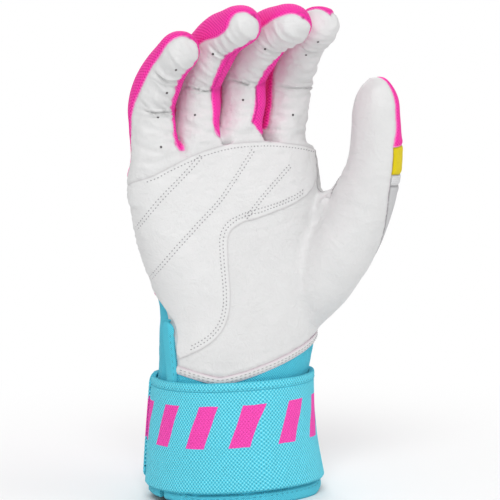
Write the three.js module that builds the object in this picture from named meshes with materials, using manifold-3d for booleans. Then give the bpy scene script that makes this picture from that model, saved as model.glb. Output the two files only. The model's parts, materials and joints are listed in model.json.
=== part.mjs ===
// A right-hand batting glove that stands on its cuff with the palm to the front, in millimetres.
// x runs across the palm to the thumb side, y runs from the palm to the back, z runs up to the tips.
import * as THREE from 'three';
import { mergeVertices } from 'three/addons/utils/BufferGeometryUtils.js';
import Module from 'manifold-3d';

const wasm = await Module();
wasm.setup();
const { clamp, degToRad, lerp, smoothstep } = THREE.MathUtils;

// Cloth and seams
const SEAM_GAP = 0.3;
const LEATHER_THICK = 1;
const MESH_THICK = 1.2;
const CUFF_THICK = 1.8;
const STRAP_THICK = 2;
const PATCH_THICK = 0.9;
const RIB_RAISE = 0.5;
const BINDING_RAISE = 0.6;
const LOOP_THICK = 0.7;
const HOOK_THICK = 0.6;

// Hand body, as half widths and half depths at heights above the rim
const RIM_HALF_WIDTH = 41.2;
const RIM_HALF_DEPTH = 29;
const RIM_CENTRE = 0.5;
const WAIST_HEIGHT = 30;
const WAIST_HALF_WIDTH = 37.8;
const WAIST_HALF_DEPTH = 26.2;
const WAIST_CENTRE = -1.1;
const CINCH_HEIGHT = 54;
const CINCH_HALF_WIDTH = 36.3;
const CINCH_HALF_DEPTH = 24.6;
const CINCH_CENTRE = -0.8;
const WRIST_HEIGHT = 70;
const WRIST_HALF_WIDTH = 37.8;
const WRIST_HALF_DEPTH = 24.4;
const WRIST_CENTRE = 1.2;
const HEEL_HEIGHT = 88;
const HEEL_HALF_WIDTH = 40;
const HEEL_HALF_DEPTH = 22.5;
const HEEL_CENTRE = 3;
const PALM_HEIGHT = 125;
const PALM_HALF_WIDTH = 46.4;
const PALM_HALF_DEPTH = 16;
const PALM_CENTRE = -2;
const KNUCKLE_HEIGHT = 165;
const KNUCKLE_HALF_DEPTH = 13;
const WRIST_POWER = 2.2;
const KNUCKLE_POWER = 2.7;
const FINGER_BASE_POWER = 3.4;
const EDGE_HALF_DEPTH = 5;

// The knuckle line falls away from its top toward both sides of the hand
const KNUCKLE_TOP_PLACE = 3;
const ULNAR_REACH = 54;
const ULNAR_DROP = 17;
const RADIAL_REACH = 40;
const RADIAL_DROP = 5;

// Fingers: width at the base, width near the tip, and the lengths between the bends
const FINGER_SPACE = 0.5;
const CURL_TURN = degToRad(12);
const TIP_CAP = 10;
const CAP_SHARE = 0.6;
const BEND_REACH = 7;
const PINKY = { name: 'pinky', width: 22, tipWidth: 18, lengths: [27, 21, 21], bends: [-5, 33, 52] };
const RING = { name: 'ring', width: 21.5, tipWidth: 18.5, lengths: [29, 26, 24], bends: [0, 42, 66] };
const MIDDLE = { name: 'middle', width: 23, tipWidth: 20, lengths: [29, 27, 23.5], bends: [2, 43, 68] };
const INDEX = { name: 'index', width: 23.5, tipWidth: 18.5, lengths: [27.5, 24, 19], bends: [4, 33, 60] };
const FINGER_DEPTH = 21;
const TIP_DEPTH = 18;
const BASE_REACH = 12;

// Seams of the fingers' leather: shares of the length and half turns round the finger from the thumb side
const ULNAR_SEAM_SHARES = [
  { at: 0, turn: -1 }, { at: 0.4, turn: -1 }, { at: 0.62, turn: -0.95 }, { at: 0.76, turn: -1.02 },
  { at: 0.86, turn: -1.18 }, { at: 1, turn: -1.4 },
];
const RADIAL_SEAM_SHARES = [
  { at: 0, turn: -0.45 }, { at: 0.4, turn: -0.48 }, { at: 0.6, turn: -0.5 }, { at: 0.76, turn: -0.45 },
  { at: 0.88, turn: -0.3 }, { at: 1, turn: 0.2 },
];
const PINKY_SEAM_SHARES = [
  { at: 0, turn: -1.08 }, { at: 0.5, turn: -1.1 }, { at: 0.75, turn: -1.2 }, { at: 1, turn: -1.4 },
];
const INDEX_SEAM_SHARES = [{ at: 0, turn: 0.08 }, { at: 0.6, turn: 0.02 }, { at: 1, turn: 0.25 }];
const ULNAR_FOURCHETTE = degToRad(45);
const RADIAL_FOURCHETTE = degToRad(80);
const FOURCHETTE_END_SHARE = 0.74;
const FOURCHETTE_NARROW_SHARE = 0.75;
const FINGER_CAP_SHARE = 0.66;
const CURVE_STEPS = 60;

// Thumb: places of its middle line and half widths at heights above the rim
const THUMB_ROOT_HEIGHT = 76;
const THUMB_ROOT_PLACE = 25;
const THUMB_ROOT_FORWARD = 5;
const THUMB_ROOT_RADIUS = 10;
const THENAR_HEIGHT = 98;
const THENAR_PLACE = 38.5;
const THENAR_FORWARD = 12.5;
const THENAR_RADIUS = 16.5;
const WEB_HEIGHT = 122;
const WEB_PLACE = 51.4;
const WEB_FORWARD = 19.5;
const WEB_RADIUS = 16.5;
const THUMB_KNUCKLE_HEIGHT = 151;
const THUMB_KNUCKLE_PLACE = 58.2;
const THUMB_KNUCKLE_FORWARD = 27;
const THUMB_KNUCKLE_RADIUS = 12.8;
const THUMB_TIP_HEIGHT = 193;
const THUMB_TIP_PLACE = 58.2;
const THUMB_TIP_FORWARD = 31;
const THUMB_TIP_RADIUS = 10.4;
const FLEX_BAND_WIDTH = 4.4;
const RIBS = 3;
const THUMB_SEAM_SPREAD = degToRad(92);
const SIDE_TAB_WIDTH = 10.5;

// Leather hem, cuff, bindings and the slit at the little finger's side
const HEM_LOW = 58.8;
const HEM_LOW_PLACE = -18;
const HEM_REACH = 54;
const HEM_RADIAL_RISE = 15.2;
const HEM_ULNAR_RISE = 23;
const HEM_POWER = 1.3;
const HEM_WIDTH = 3;
const CUFF_BACK_TOP = 98;
const CUFF_ULNAR_TOP = 86;
const RIM_BAND = 6;
const RIM_LIFT = 3;
const RIM_FLAT_SHARE = 0.7;
const SLIT_ANGLE = degToRad(-170);
const SLIT_HALF_GAP = 2;
const SLIT_TOP = 82;
const SLIT_BINDING_WIDTH = 5.5;
const RADIAL_SEAM = degToRad(22);
const SEAM_SETBACK = 27;
const SEAM_SETTLE = 18;

// Wrist strap, its free tab and the fastening fields
const STRAP_BOTTOM = 7;
const STRAP_WIDTH = 50;
const STRAP_HEM = 4;
const STRAP_START = degToRad(-196);
const STRAP_FOLD = degToRad(98);
const TAB_END = degToRad(152);
const FIELD_MARGIN = 3;
const FOLD_RADIUS = 2.4;
const FOLD_CLEARANCE = 0.45;

// Outlines of the reinforcement patch and the gusset: half turns round the palm from the thumb side,
// and shares of the height from the hem to the knuckle line
const PATCH_OUTER_SHARES = [
  [-0.86, 0.1], [-0.88, 0.2], [-0.94, 0.32], [-0.98, 0.5], [-0.99, 0.72],
  [-0.97, 0.94], [-0.76, 0.97], [-0.5, 0.965], [-0.3, 0.955], [-0.17, 0.94],
];
const PATCH_INNER_SHARES = [
  [-0.84, 0.07], [-0.75, 0.165], [-0.69, 0.23], [-0.64, 0.35], [-0.58, 0.51],
  [-0.545, 0.62], [-0.5, 0.66], [-0.4, 0.72], [-0.28, 0.77], [-0.17, 0.84],
];
const GUSSET_OUTER_SHARES = [[-0.13, 0.94], [0, 0.93], [0.08, 0.83]];
const GUSSET_INNER_SHARES = [[-0.14, 0.86], [-0.19, 0.775], [-0.15, 0.72]];

const STRAP_TOP = STRAP_BOTTOM + STRAP_WIDTH;
const FINGERS = [PINKY, RING, MIDDLE, INDEX];
const HAND_ROWS = 22;
const HAND_COLUMNS = 48;
const THUMB_ROWS = 18;
const THUMB_COLUMNS = 28;
const PALM_SPAN = FINGERS.reduce((sum, finger) => sum + finger.width, 0);
const KNUCKLE_HALF_WIDTH = PALM_SPAN / 2;
const KNUCKLE_CENTRE = KNUCKLE_TOP_PLACE + MIDDLE.width / 2 + INDEX.width - KNUCKLE_HALF_WIDTH;

const CURL_AXIS = new THREE.Vector3(Math.cos(CURL_TURN), Math.sin(CURL_TURN), 0);
const CURL_AHEAD = new THREE.Vector3(Math.sin(CURL_TURN), -Math.cos(CURL_TURN), 0);
const ACROSS = new THREE.Vector3(1, 0, 0);
const UP = new THREE.Vector3(0, 0, 1);
const HALF_TURN = Math.PI;

// Smooth value between stations, with slopes from the neighbouring stations
function track(stations, at, key) {
  const last = stations.length - 1;
  const here = clamp(at, stations[0].at, stations[last].at);
  let i = 0;
  while (i < last - 1 && here > stations[i + 1].at) i += 1;
  const slope = (j) => {
    const before = stations[Math.max(j - 1, 0)];
    const after = stations[Math.min(j + 1, last)];
    return (after[key] - before[key]) / (after.at - before.at);
  };
  const span = stations[i + 1].at - stations[i].at;
  const t = (here - stations[i].at) / span;
  const easeIn = t * t * (3 - 2 * t);
  const start = t * (1 - t) * (1 - t) * slope(i);
  const finish = t * t * (t - 1) * slope(i + 1);
  return lerp(stations[i][key], stations[i + 1][key], easeIn) + span * (start + finish);
}

// Rounded section: a power of 2 is an ellipse, and a higher one is closer to a box
const rounded = (value, power) => Math.sign(value) * Math.abs(value) ** (2 / power);

// A closed thin piece between an outer and an inner grid of points
function thinPiece(rows, columns, place) {
  const positions = [];
  const stride = columns + 1;
  const layer = (rows + 1) * stride;
  for (const side of [0, 1]) {
    for (let i = 0; i <= rows; i += 1) {
      for (let j = 0; j <= columns; j += 1) positions.push(...place(i / rows, j / columns, side).toArray());
    }
  }
  const at = (side, i, j) => side * layer + i * stride + j;
  const faces = [];
  const quad = (a, b, c, d) => faces.push([a, b, c], [a, c, d]);
  for (let i = 0; i < rows; i += 1) {
    for (let j = 0; j < columns; j += 1) {
      quad(at(0, i, j), at(0, i, j + 1), at(0, i + 1, j + 1), at(0, i + 1, j));
      quad(at(1, i, j), at(1, i + 1, j), at(1, i + 1, j + 1), at(1, i, j + 1));
    }
    quad(at(0, i, 0), at(0, i + 1, 0), at(1, i + 1, 0), at(1, i, 0));
    quad(at(0, i + 1, columns), at(0, i, columns), at(1, i, columns), at(1, i + 1, columns));
  }
  for (let j = 0; j < columns; j += 1) {
    quad(at(0, 0, j + 1), at(0, 0, j), at(1, 0, j), at(1, 0, j + 1));
    quad(at(0, rows, j), at(0, rows, j + 1), at(1, rows, j + 1), at(1, rows, j));
  }
  return closed(positions, faces);
}

// A solid tube with flat ends, for joining and cutting
function tubeSolid(rows, columns, place) {
  const positions = [];
  for (let i = 0; i <= rows; i += 1) {
    for (let j = 0; j < columns; j += 1) {
      positions.push(...place(i / rows, (j / columns) * 2 * HALF_TURN - HALF_TURN).toArray());
    }
  }
  const faces = [];
  for (let i = 0; i < rows; i += 1) {
    for (let j = 0; j < columns; j += 1) {
      const next = (j + 1) % columns;
      const corner = [i * columns + j, i * columns + next, (i + 1) * columns + next, (i + 1) * columns + j];
      faces.push([corner[0], corner[1], corner[2]], [corner[0], corner[2], corner[3]]);
    }
  }
  for (const [row, turned] of [[0, true], [rows, false]]) {
    const middle = new THREE.Vector3();
    for (let j = 0; j < columns; j += 1) {
      middle.add(new THREE.Vector3().fromArray(positions, (row * columns + j) * 3));
    }
    positions.push(...middle.divideScalar(columns).toArray());
    const centre = positions.length / 3 - 1;
    for (let j = 0; j < columns; j += 1) {
      const edge = [row * columns + j, row * columns + ((j + 1) % columns)];
      faces.push(turned ? [centre, edge[1], edge[0]] : [centre, edge[0], edge[1]]);
    }
  }
  return closed(positions, faces);
}

// Welds the points, drops faces that have shrunk to nothing and turns the faces outward
function closed(positions, faces) {
  const raw = new THREE.BufferGeometry();
  raw.setAttribute('position', new THREE.Float32BufferAttribute(positions, 3));
  raw.setIndex(faces.flat());
  const welded = mergeVertices(raw, SEAM_GAP / 1000);
  const index = Array.from(welded.index.array);
  const spot = (i) => new THREE.Vector3().fromBufferAttribute(welded.attributes.position, i);
  const kept = [];
  let volume = 0;
  for (let i = 0; i < index.length; i += 3) {
    const [a, b, c] = index.slice(i, i + 3);
    if (a === b || b === c || c === a) continue;
    kept.push(a, b, c);
    volume += spot(a).dot(spot(b).cross(spot(c)));
  }
  if (volume < 0) kept.reverse();
  welded.setIndex(kept);
  return welded;
}

function toManifold(geometry) {
  return new wasm.Manifold(new wasm.Mesh({
    numProp: 3,
    vertProperties: new Float32Array(geometry.attributes.position.array),
    triVerts: new Uint32Array(geometry.index.array),
  }));
}

// The largest body of a joined or cut solid, as a geometry
function toGeometry(manifold) {
  const bodies = manifold.decompose().sort((a, b) => b.volume() - a.volume());
  const mesh = bodies[0].getMesh();
  const geometry = new THREE.BufferGeometry();
  geometry.setAttribute('position', new THREE.Float32BufferAttribute(Array.from(mesh.vertProperties), 3));
  geometry.setIndex(Array.from(mesh.triVerts));
  return geometry;
}

// Hand body
const handStations = [
  { at: 0, centre: RIM_CENTRE, width: RIM_HALF_WIDTH, depth: RIM_HALF_DEPTH, power: WRIST_POWER },
  { at: WAIST_HEIGHT, centre: WAIST_CENTRE, width: WAIST_HALF_WIDTH, depth: WAIST_HALF_DEPTH,
    power: WRIST_POWER },
  { at: CINCH_HEIGHT, centre: CINCH_CENTRE, width: CINCH_HALF_WIDTH, depth: CINCH_HALF_DEPTH,
    power: WRIST_POWER },
  { at: WRIST_HEIGHT, centre: WRIST_CENTRE, width: WRIST_HALF_WIDTH, depth: WRIST_HALF_DEPTH,
    power: WRIST_POWER },
  { at: HEEL_HEIGHT, centre: HEEL_CENTRE, width: HEEL_HALF_WIDTH, depth: HEEL_HALF_DEPTH,
    power: WRIST_POWER },
  { at: PALM_HEIGHT, centre: PALM_CENTRE, width: PALM_HALF_WIDTH, depth: PALM_HALF_DEPTH,
    power: KNUCKLE_POWER },
  { at: KNUCKLE_HEIGHT, centre: KNUCKLE_CENTRE, width: KNUCKLE_HALF_WIDTH, depth: KNUCKLE_HALF_DEPTH,
    power: KNUCKLE_POWER },
];

// A point on the hand body at an angle from the thumb side, sunk inward from the outer face.
// Toward the knuckles the sections shear, so that the fingers curl in parallel slanted slabs.
function handPoint(angle, height, inward) {
  const power = track(handStations, height, 'power');
  const across = (track(handStations, height, 'width') - inward) * rounded(Math.cos(angle), power);
  const back = (track(handStations, height, 'depth') - inward) * rounded(Math.sin(angle), power);
  const shear = Math.tan(CURL_TURN) * smoothstep(height, HEEL_HEIGHT, KNUCKLE_HEIGHT);
  return new THREE.Vector3(track(handStations, height, 'centre') + across - back * shear, back, height);
}

// Height of the knuckle line at a place across the slabs
function knuckleHeight(place) {
  const off = place - KNUCKLE_TOP_PLACE;
  const share = off < 0 ? off / ULNAR_REACH : off / RADIAL_REACH;
  return KNUCKLE_HEIGHT - (off < 0 ? ULNAR_DROP : RADIAL_DROP) * share * share;
}

const knucklePlace = (angle) => (
  KNUCKLE_CENTRE + KNUCKLE_HALF_WIDTH * rounded(Math.cos(angle), KNUCKLE_POWER));
const bodyTop = (angle) => knuckleHeight(knucklePlace(angle)) - SEAM_GAP;

// Angle of a line that stays a set distance from the slit's middle
const fromSlit = (distance) => SLIT_ANGLE + distance / WRIST_HALF_WIDTH;

// The seam between palm and back runs round the slit's binding and then to the little finger's side
function ulnarSeam(height) {
  const besideBinding = SLIT_BINDING_WIDTH + SLIT_HALF_GAP + SEAM_GAP;
  const overSlit = smoothstep(height, SLIT_TOP + SEAM_GAP, SLIT_TOP + SLIT_BINDING_WIDTH);
  const aboveCuff = smoothstep(height, CUFF_ULNAR_TOP, CUFF_ULNAR_TOP + SEAM_SETTLE);
  return fromSlit(lerp(lerp(besideBinding, -SLIT_HALF_GAP, overSlit), -SEAM_SETBACK, aboveCuff));
}

const seamShift = SEAM_GAP / 2 / WRIST_HALF_WIDTH;

// The hem dips to its lowest point in the middle of the palm and rises to both sides
function hemHeight(angle) {
  const share = (handPoint(angle, WRIST_HEIGHT, 0).x - HEM_LOW_PLACE) / HEM_REACH;
  const rise = share < 0 ? HEM_ULNAR_RISE : HEM_RADIAL_RISE;
  const hem = HEM_LOW + rise * Math.abs(share) ** HEM_POWER;
  const behind = lerp(CUFF_BACK_TOP, CUFF_ULNAR_TOP, smoothstep(angle, 4 * RADIAL_SEAM, 6 * RADIAL_SEAM));
  return lerp(hem, behind, smoothstep(angle, -RADIAL_SEAM, 3 * RADIAL_SEAM));
}

const rimHeight = (angle) => RIM_LIFT * smoothstep(Math.abs(Math.cos(angle)), RIM_FLAT_SHARE, 1);

// A piece on the hand body, between two angles and two heights that may vary
function handPiece({ rows, columns, from, to, low, high, outward = 0, thick }) {
  return thinPiece(rows, columns, (u, v, side) => {
    const guess = lerp(low(lerp(from(0), to(0), v)), high(lerp(from(0), to(0), v)), u);
    const angle = lerp(from(guess), to(guess), v);
    return handPoint(angle, lerp(low(angle), high(angle), u), side * thick - outward);
  });
}

const constant = (value) => () => value;

const handSolid = (inward) => tubeSolid(HAND_ROWS, HAND_COLUMNS, (u, angle) =>
  handPoint(angle, lerp(-inward, KNUCKLE_HEIGHT + inward, u), inward));

// Thumb: a tube about a rising middle line, with sections square to it
const thumbStations = [
  { at: THUMB_ROOT_HEIGHT, place: THUMB_ROOT_PLACE, forward: THUMB_ROOT_FORWARD, radius: THUMB_ROOT_RADIUS },
  { at: THENAR_HEIGHT, place: THENAR_PLACE, forward: THENAR_FORWARD, radius: THENAR_RADIUS },
  { at: WEB_HEIGHT, place: WEB_PLACE, forward: WEB_FORWARD, radius: WEB_RADIUS },
  { at: THUMB_KNUCKLE_HEIGHT, place: THUMB_KNUCKLE_PLACE, forward: THUMB_KNUCKLE_FORWARD,
    radius: THUMB_KNUCKLE_RADIUS },
  { at: THUMB_TIP_HEIGHT, place: THUMB_TIP_PLACE, forward: THUMB_TIP_FORWARD, radius: THUMB_TIP_RADIUS },
];

const thumbLine = (height) => new THREE.Vector3(
  track(thumbStations, height, 'place'), -track(thumbStations, height, 'forward'), height);

function thumbPoint(angle, height, inward) {
  const along = thumbLine(height + SEAM_GAP).sub(thumbLine(height - SEAM_GAP)).normalize();
  const back = new THREE.Vector3().crossVectors(along, CURL_AXIS).normalize();
  const across = new THREE.Vector3().crossVectors(back, along);
  const capStart = THUMB_TIP_HEIGHT - TIP_CAP;
  const top = THUMB_TIP_HEIGHT - inward;
  const share = clamp((height - capStart) / (top - capStart), 0, 1);
  const radius = (track(thumbStations, height, 'radius') - inward) * Math.sqrt(1 - share * share);
  return thumbLine(height).addScaledVector(across, radius * Math.cos(angle))
    .addScaledVector(back, radius * Math.sin(angle));
}

// Rows crowd toward the tip, so that the cap is round. The last row is a point on the seam.
function capRow(low, u, inward) {
  const top = THUMB_TIP_HEIGHT - inward;
  const capStart = THUMB_TIP_HEIGHT - TIP_CAP;
  return u < CAP_SHARE ? lerp(low, capStart, u / CAP_SHARE)
    : lerp(capStart, top, Math.sin(((u - CAP_SHARE) / (1 - CAP_SHARE)) * HALF_TURN / 2));
}

const thumbSolid = (inward) => tubeSolid(THUMB_ROWS, THUMB_COLUMNS, (u, angle) =>
  thumbPoint(angle, lerp(THUMB_ROOT_HEIGHT, THUMB_KNUCKLE_HEIGHT + inward, u), inward));

const thumbSeamGap = (height, inward) => {
  const radius = thumbPoint(0, height, inward).distanceTo(thumbLine(height));
  return Math.asin(clamp(SEAM_GAP / 2 / Math.max(radius, SEAM_GAP / 2), 0, 1));
};

// A piece round the thumb, from a seam to the next, between two heights
function thumbPiece({ rows, columns, from, to, low, high, outward = 0, thick }) {
  return thinPiece(rows, columns, (u, v, side) => {
    const inward = side * thick - outward;
    const height = high === THUMB_TIP_HEIGHT ? capRow(low, u, Math.max(inward, 0)) : lerp(low, high, u);
    const gap = thumbSeamGap(height, inward);
    return thumbPoint(lerp(from + gap, to - gap, v), height, inward);
  });
}

// Half the depth of the hand at a place on the knuckle line, kept thick enough for both its faces
function palmDepth(place) {
  const share = clamp(Math.abs((place - KNUCKLE_CENTRE) / KNUCKLE_HALF_WIDTH), 0, 1);
  const depth = KNUCKLE_HALF_DEPTH / Math.cos(CURL_TURN);
  return Math.max(depth * rounded(1 - share ** KNUCKLE_POWER, 2 * KNUCKLE_POWER), EDGE_HALF_DEPTH);
}

// Fingers: a middle line that bends in its slab, with sections from a rounded box to a round tip
function makeFinger(finger, place) {
  const total = finger.lengths.reduce((sum, length) => sum + length, 0);
  const [first, second] = finger.lengths;
  const angles = finger.bends.map(degToRad);
  const bendAt = (s) => angles[0] * smoothstep(s, 0, BEND_REACH)
    + (angles[1] - angles[0]) * smoothstep(s, first - BEND_REACH, first + BEND_REACH)
    + (angles[2] - angles[1]) * smoothstep(s, first + second - BEND_REACH, first + second + BEND_REACH);
  const line = [new THREE.Vector3(place, 0, knuckleHeight(place))];
  for (let i = 0; i < CURVE_STEPS; i += 1) {
    const bend = bendAt(((i + 0.5) / CURVE_STEPS) * total);
    const step = CURL_AHEAD.clone().multiplyScalar(Math.sin(bend)).addScaledVector(UP, Math.cos(bend));
    line.push(line[i].clone().addScaledVector(step, total / CURVE_STEPS));
  }
  const centreAt = (s) => {
    const i = Math.min(Math.floor((s / total) * CURVE_STEPS), CURVE_STEPS - 1);
    return line[i].clone().lerp(line[i + 1], (s / total) * CURVE_STEPS - i);
  };
  const halfWidth = finger.width / 2 - FINGER_SPACE / 2;
  return {
    total,
    point(angle, share, inward) {
      const tube = total - TIP_CAP;
      const inCap = clamp((share - FINGER_CAP_SHARE) / (1 - FINGER_CAP_SHARE), 0, 1);
      const s = share < FINGER_CAP_SHARE ? tube * (share / FINGER_CAP_SHARE)
        : tube + (TIP_CAP - Math.max(inward, 0)) * Math.sin(inCap * HALF_TURN / 2);
      const shrink = Math.cos(inCap * HALF_TURN / 2);
      const taper = smoothstep(s, 0, tube);
      const lift = smoothstep(s, 0, first);
      const power = lerp(FINGER_BASE_POWER, WRIST_POWER, smoothstep(s, 0, BASE_REACH));
      const wide = (lerp(halfWidth, finger.tipWidth / 2 / Math.cos(CURL_TURN), taper) - inward) * shrink;
      const sideways = wide * rounded(Math.cos(angle), power);
      const depth = lerp(palmDepth(place + sideways), FINGER_DEPTH / 2, smoothstep(s, 0, first));
      const deep = (lerp(depth, TIP_DEPTH / 2, smoothstep(s, first, tube)) - inward) * shrink;
      const bend = bendAt(s);
      const back = CURL_AHEAD.clone().multiplyScalar(-Math.cos(bend)).addScaledVector(UP, Math.sin(bend));
      const turn = smoothstep(s, 0, BEND_REACH);
      const across = ACROSS.clone().multiplyScalar(1 - turn)
        .addScaledVector(CURL_AXIS, turn * Math.cos(CURL_TURN));
      const point = centreAt(s).addScaledVector(across, sideways)
        .addScaledVector(back, deep * rounded(Math.sin(angle), power));
      point.z += (knuckleHeight(place + sideways) - knuckleHeight(place)) * (1 - lift);
      return point;
    },
    seamGap(share, inward) {
      const reach = this.point(0, share, inward).distanceTo(this.point(HALF_TURN, share, inward)) / 2;
      return Math.asin(clamp(SEAM_GAP / 2 / Math.max(reach, SEAM_GAP / 2), 0, 1));
    },
  };
}

// How far a fourchette spreads from the side of the finger, narrowing to its end near the tip
function spread(share) {
  if (share > FOURCHETTE_END_SHARE) return 0;
  return 1 - FOURCHETTE_NARROW_SHARE * (share / FOURCHETTE_END_SHARE) ** 2;
}

function fingerPiece(shape, { rows, columns, from, to, end = 1, thick }) {
  return thinPiece(rows, columns, (u, v, side) => {
    const share = u * end;
    const gap = shape.seamGap(share, side * thick);
    return shape.point(lerp(from(share) + gap, to(share) - gap, v), share, side * thick);
  });
}

// Materials
const paint = (color, roughness) => new THREE.MeshStandardMaterial({ color, roughness });
const leatherPaint = () => paint('#e6e6e6', 0.55);
const meshPaint = () => paint('#fc35a9', 0.8);
const cuffPaint = () => paint('#5fc8dd', 0.8);

const group = new THREE.Group();
function add(name, geometry, material) {
  const mesh = new THREE.Mesh(geometry, material);
  mesh.name = name;
  group.add(mesh);
}

// Glove body: palm leather with the thumb's lower half, the back and the thumb's side panel
const thumbOuter = toManifold(thumbSolid(0));
const thumbInner = toManifold(thumbSolid(LEATHER_THICK));
const thumbClear = toManifold(thumbSolid(-SEAM_GAP));
const handInner = toManifold(handSolid(LEATHER_THICK));
const handClear = toManifold(handSolid(-SEAM_GAP));
const bandLow = THUMB_KNUCKLE_HEIGHT - FLEX_BAND_WIDTH;

const palmFront = toManifold(handPiece({
  rows: 16, columns: 26, thick: LEATHER_THICK,
  from: (height) => ulnarSeam(height) + seamShift, to: constant(RADIAL_SEAM - seamShift),
  low: hemHeight, high: bodyTop,
}));
const thumbFront = toManifold(thumbPiece({
  rows: 12, columns: 12, thick: LEATHER_THICK,
  from: THUMB_SEAM_SPREAD, to: 2 * HALF_TURN - THUMB_SEAM_SPREAD,
  low: THUMB_ROOT_HEIGHT + THUMB_ROOT_RADIUS / 2, high: THUMB_KNUCKLE_HEIGHT,
}));
const palmLeather = palmFront.subtract(thumbInner).add(thumbFront.subtract(handInner));
add('palm_leather', toGeometry(palmLeather), leatherPaint());

const backSheet = toManifold(handPiece({
  rows: 12, columns: 20, thick: MESH_THICK,
  from: constant(RADIAL_SEAM + seamShift), to: (height) => 2 * HALF_TURN + ulnarSeam(height) - 5 * seamShift,
  low: (angle) => hemHeight(angle) + SEAM_GAP, high: bodyTop,
}));
add('back_panel', toGeometry(backSheet.subtract(thumbClear)), meshPaint());

const thumbSide = toManifold(thumbPiece({
  rows: 8, columns: 12, thick: MESH_THICK, from: -THUMB_SEAM_SPREAD, to: THUMB_SEAM_SPREAD,
  low: THUMB_ROOT_HEIGHT + THUMB_ROOT_RADIUS / 2, high: bandLow - SEAM_GAP,
}));
add('thumb_side_panel', toGeometry(thumbSide.subtract(handClear)), paint('#c1c1c1', 0.6));

// The ribbed stretch band under the thumb's knuckle
add('thumb_flex_band', thinPiece(4 * RIBS, 12, (u, v, side) => {
  const height = lerp(bandLow, THUMB_KNUCKLE_HEIGHT, u);
  const gap = thumbSeamGap(height, side * MESH_THICK);
  const rib = RIB_RAISE * (1 - Math.cos(u * RIBS * 2 * HALF_TURN)) / 2;
  return thumbPoint(lerp(gap - THUMB_SEAM_SPREAD, THUMB_SEAM_SPREAD - gap, v), height,
    side * MESH_THICK - (1 - side) * rib);
}), paint('#dedede', 0.7));

// Upper half of the thumb
const tipLow = THUMB_KNUCKLE_HEIGHT + SEAM_GAP;
add('thumb_tip_leather', thumbPiece({
  rows: 14, columns: 12, thick: LEATHER_THICK,
  from: THUMB_SEAM_SPREAD, to: 2 * HALF_TURN - THUMB_SEAM_SPREAD,
  low: tipLow, high: THUMB_TIP_HEIGHT,
}), leatherPaint());
add('thumb_tip_panel', thumbPiece({
  rows: 4, columns: 12, thick: MESH_THICK, from: -THUMB_SEAM_SPREAD, to: THUMB_SEAM_SPREAD,
  low: tipLow, high: tipLow + SIDE_TAB_WIDTH,
}), paint('#ecd300', 0.7));
add('thumb_tip_back', thumbPiece({
  rows: 12, columns: 12, thick: MESH_THICK, from: -THUMB_SEAM_SPREAD, to: THUMB_SEAM_SPREAD,
  low: tipLow + SIDE_TAB_WIDTH + SEAM_GAP, high: THUMB_TIP_HEIGHT,
}), meshPaint());

// Fingers: leather in front, mesh behind and a fourchette on each side that faces another finger
const seamAngle = (stations, share) => HALF_TURN * track(stations, share, 'turn');
let ulnarEdge = KNUCKLE_CENTRE - KNUCKLE_HALF_WIDTH;
for (const finger of FINGERS) {
  const shape = makeFinger(finger, ulnarEdge + finger.width / 2);
  ulnarEdge += finger.width;
  const outerUlnar = finger === PINKY;
  const outerRadial = finger === INDEX;
  const frontUlnar = (share) => seamAngle(outerUlnar ? PINKY_SEAM_SHARES : ULNAR_SEAM_SHARES, share);
  const frontRadial = (share) => seamAngle(outerRadial ? INDEX_SEAM_SHARES : RADIAL_SEAM_SHARES, share);
  const backUlnar = (share) => frontUlnar(share) - (outerUlnar ? 0 : ULNAR_FOURCHETTE * spread(share));
  const backRadial = (share) => frontRadial(share) + (outerRadial ? 0 : RADIAL_FOURCHETTE * spread(share));
  add(`${finger.name}_leather`, fingerPiece(shape, {
    rows: 15, columns: 8, thick: LEATHER_THICK,
    from: frontUlnar, to: frontRadial,
  }), leatherPaint());
  add(`${finger.name}_back`, fingerPiece(shape, {
    rows: 15, columns: 8, thick: MESH_THICK,
    from: backRadial, to: (share) => 2 * HALF_TURN + backUlnar(share),
  }), meshPaint());
  if (!outerUlnar) {
    add(`${finger.name}_fourchette_ulnar`, fingerPiece(shape, {
      rows: 11, columns: 2, thick: MESH_THICK, end: FOURCHETTE_END_SHARE,
      from: backUlnar, to: frontUlnar,
    }), meshPaint());
  }
  if (!outerRadial) {
    add(`${finger.name}_fourchette_radial`, fingerPiece(shape, {
      rows: 11, columns: 2, thick: MESH_THICK, end: FOURCHETTE_END_SHARE,
      from: frontRadial, to: backRadial,
    }), meshPaint());
    add(`${finger.name}_fourchette_fold`, foldBar(ulnarEdge), meshPaint());
  }
}

// The half-round fold that joins two fourchettes at the foot of the gap between two fingers
function foldBar(place) {
  const slope = (2 * ULNAR_DROP * FOLD_RADIUS) / ULNAR_REACH;
  const shape = new THREE.Shape().absarc(0, 0, FOLD_RADIUS, 0, HALF_TURN, true);
  const wall = MESH_THICK + FOLD_RADIUS * Math.tan(CURL_TURN) + FOLD_CLEARANCE;
  const narrowest = Math.min(palmDepth(place - FOLD_RADIUS), palmDepth(place + FOLD_RADIUS));
  const depth = 2 * (narrowest - wall / Math.cos(CURL_TURN));
  const bar = new THREE.ExtrudeGeometry(shape, { depth, curveSegments: 8, bevelEnabled: false });
  bar.deleteAttribute('normal');
  bar.deleteAttribute('uv');
  bar.translate(0, 0, -depth / 2).rotateX(HALF_TURN / 2).rotateZ(CURL_TURN);
  bar.translate(place, 0, knuckleHeight(place) - slope - SEAM_GAP);
  return mergeVertices(bar);
}

// Reinforcement on the palm leather: the patch and the gusset beside the thumb's web
function smoothOutline(shares) {
  return new THREE.CatmullRomCurve3(shares.map(([turn, up]) => new THREE.Vector3(turn, up, 0)));
}

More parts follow.
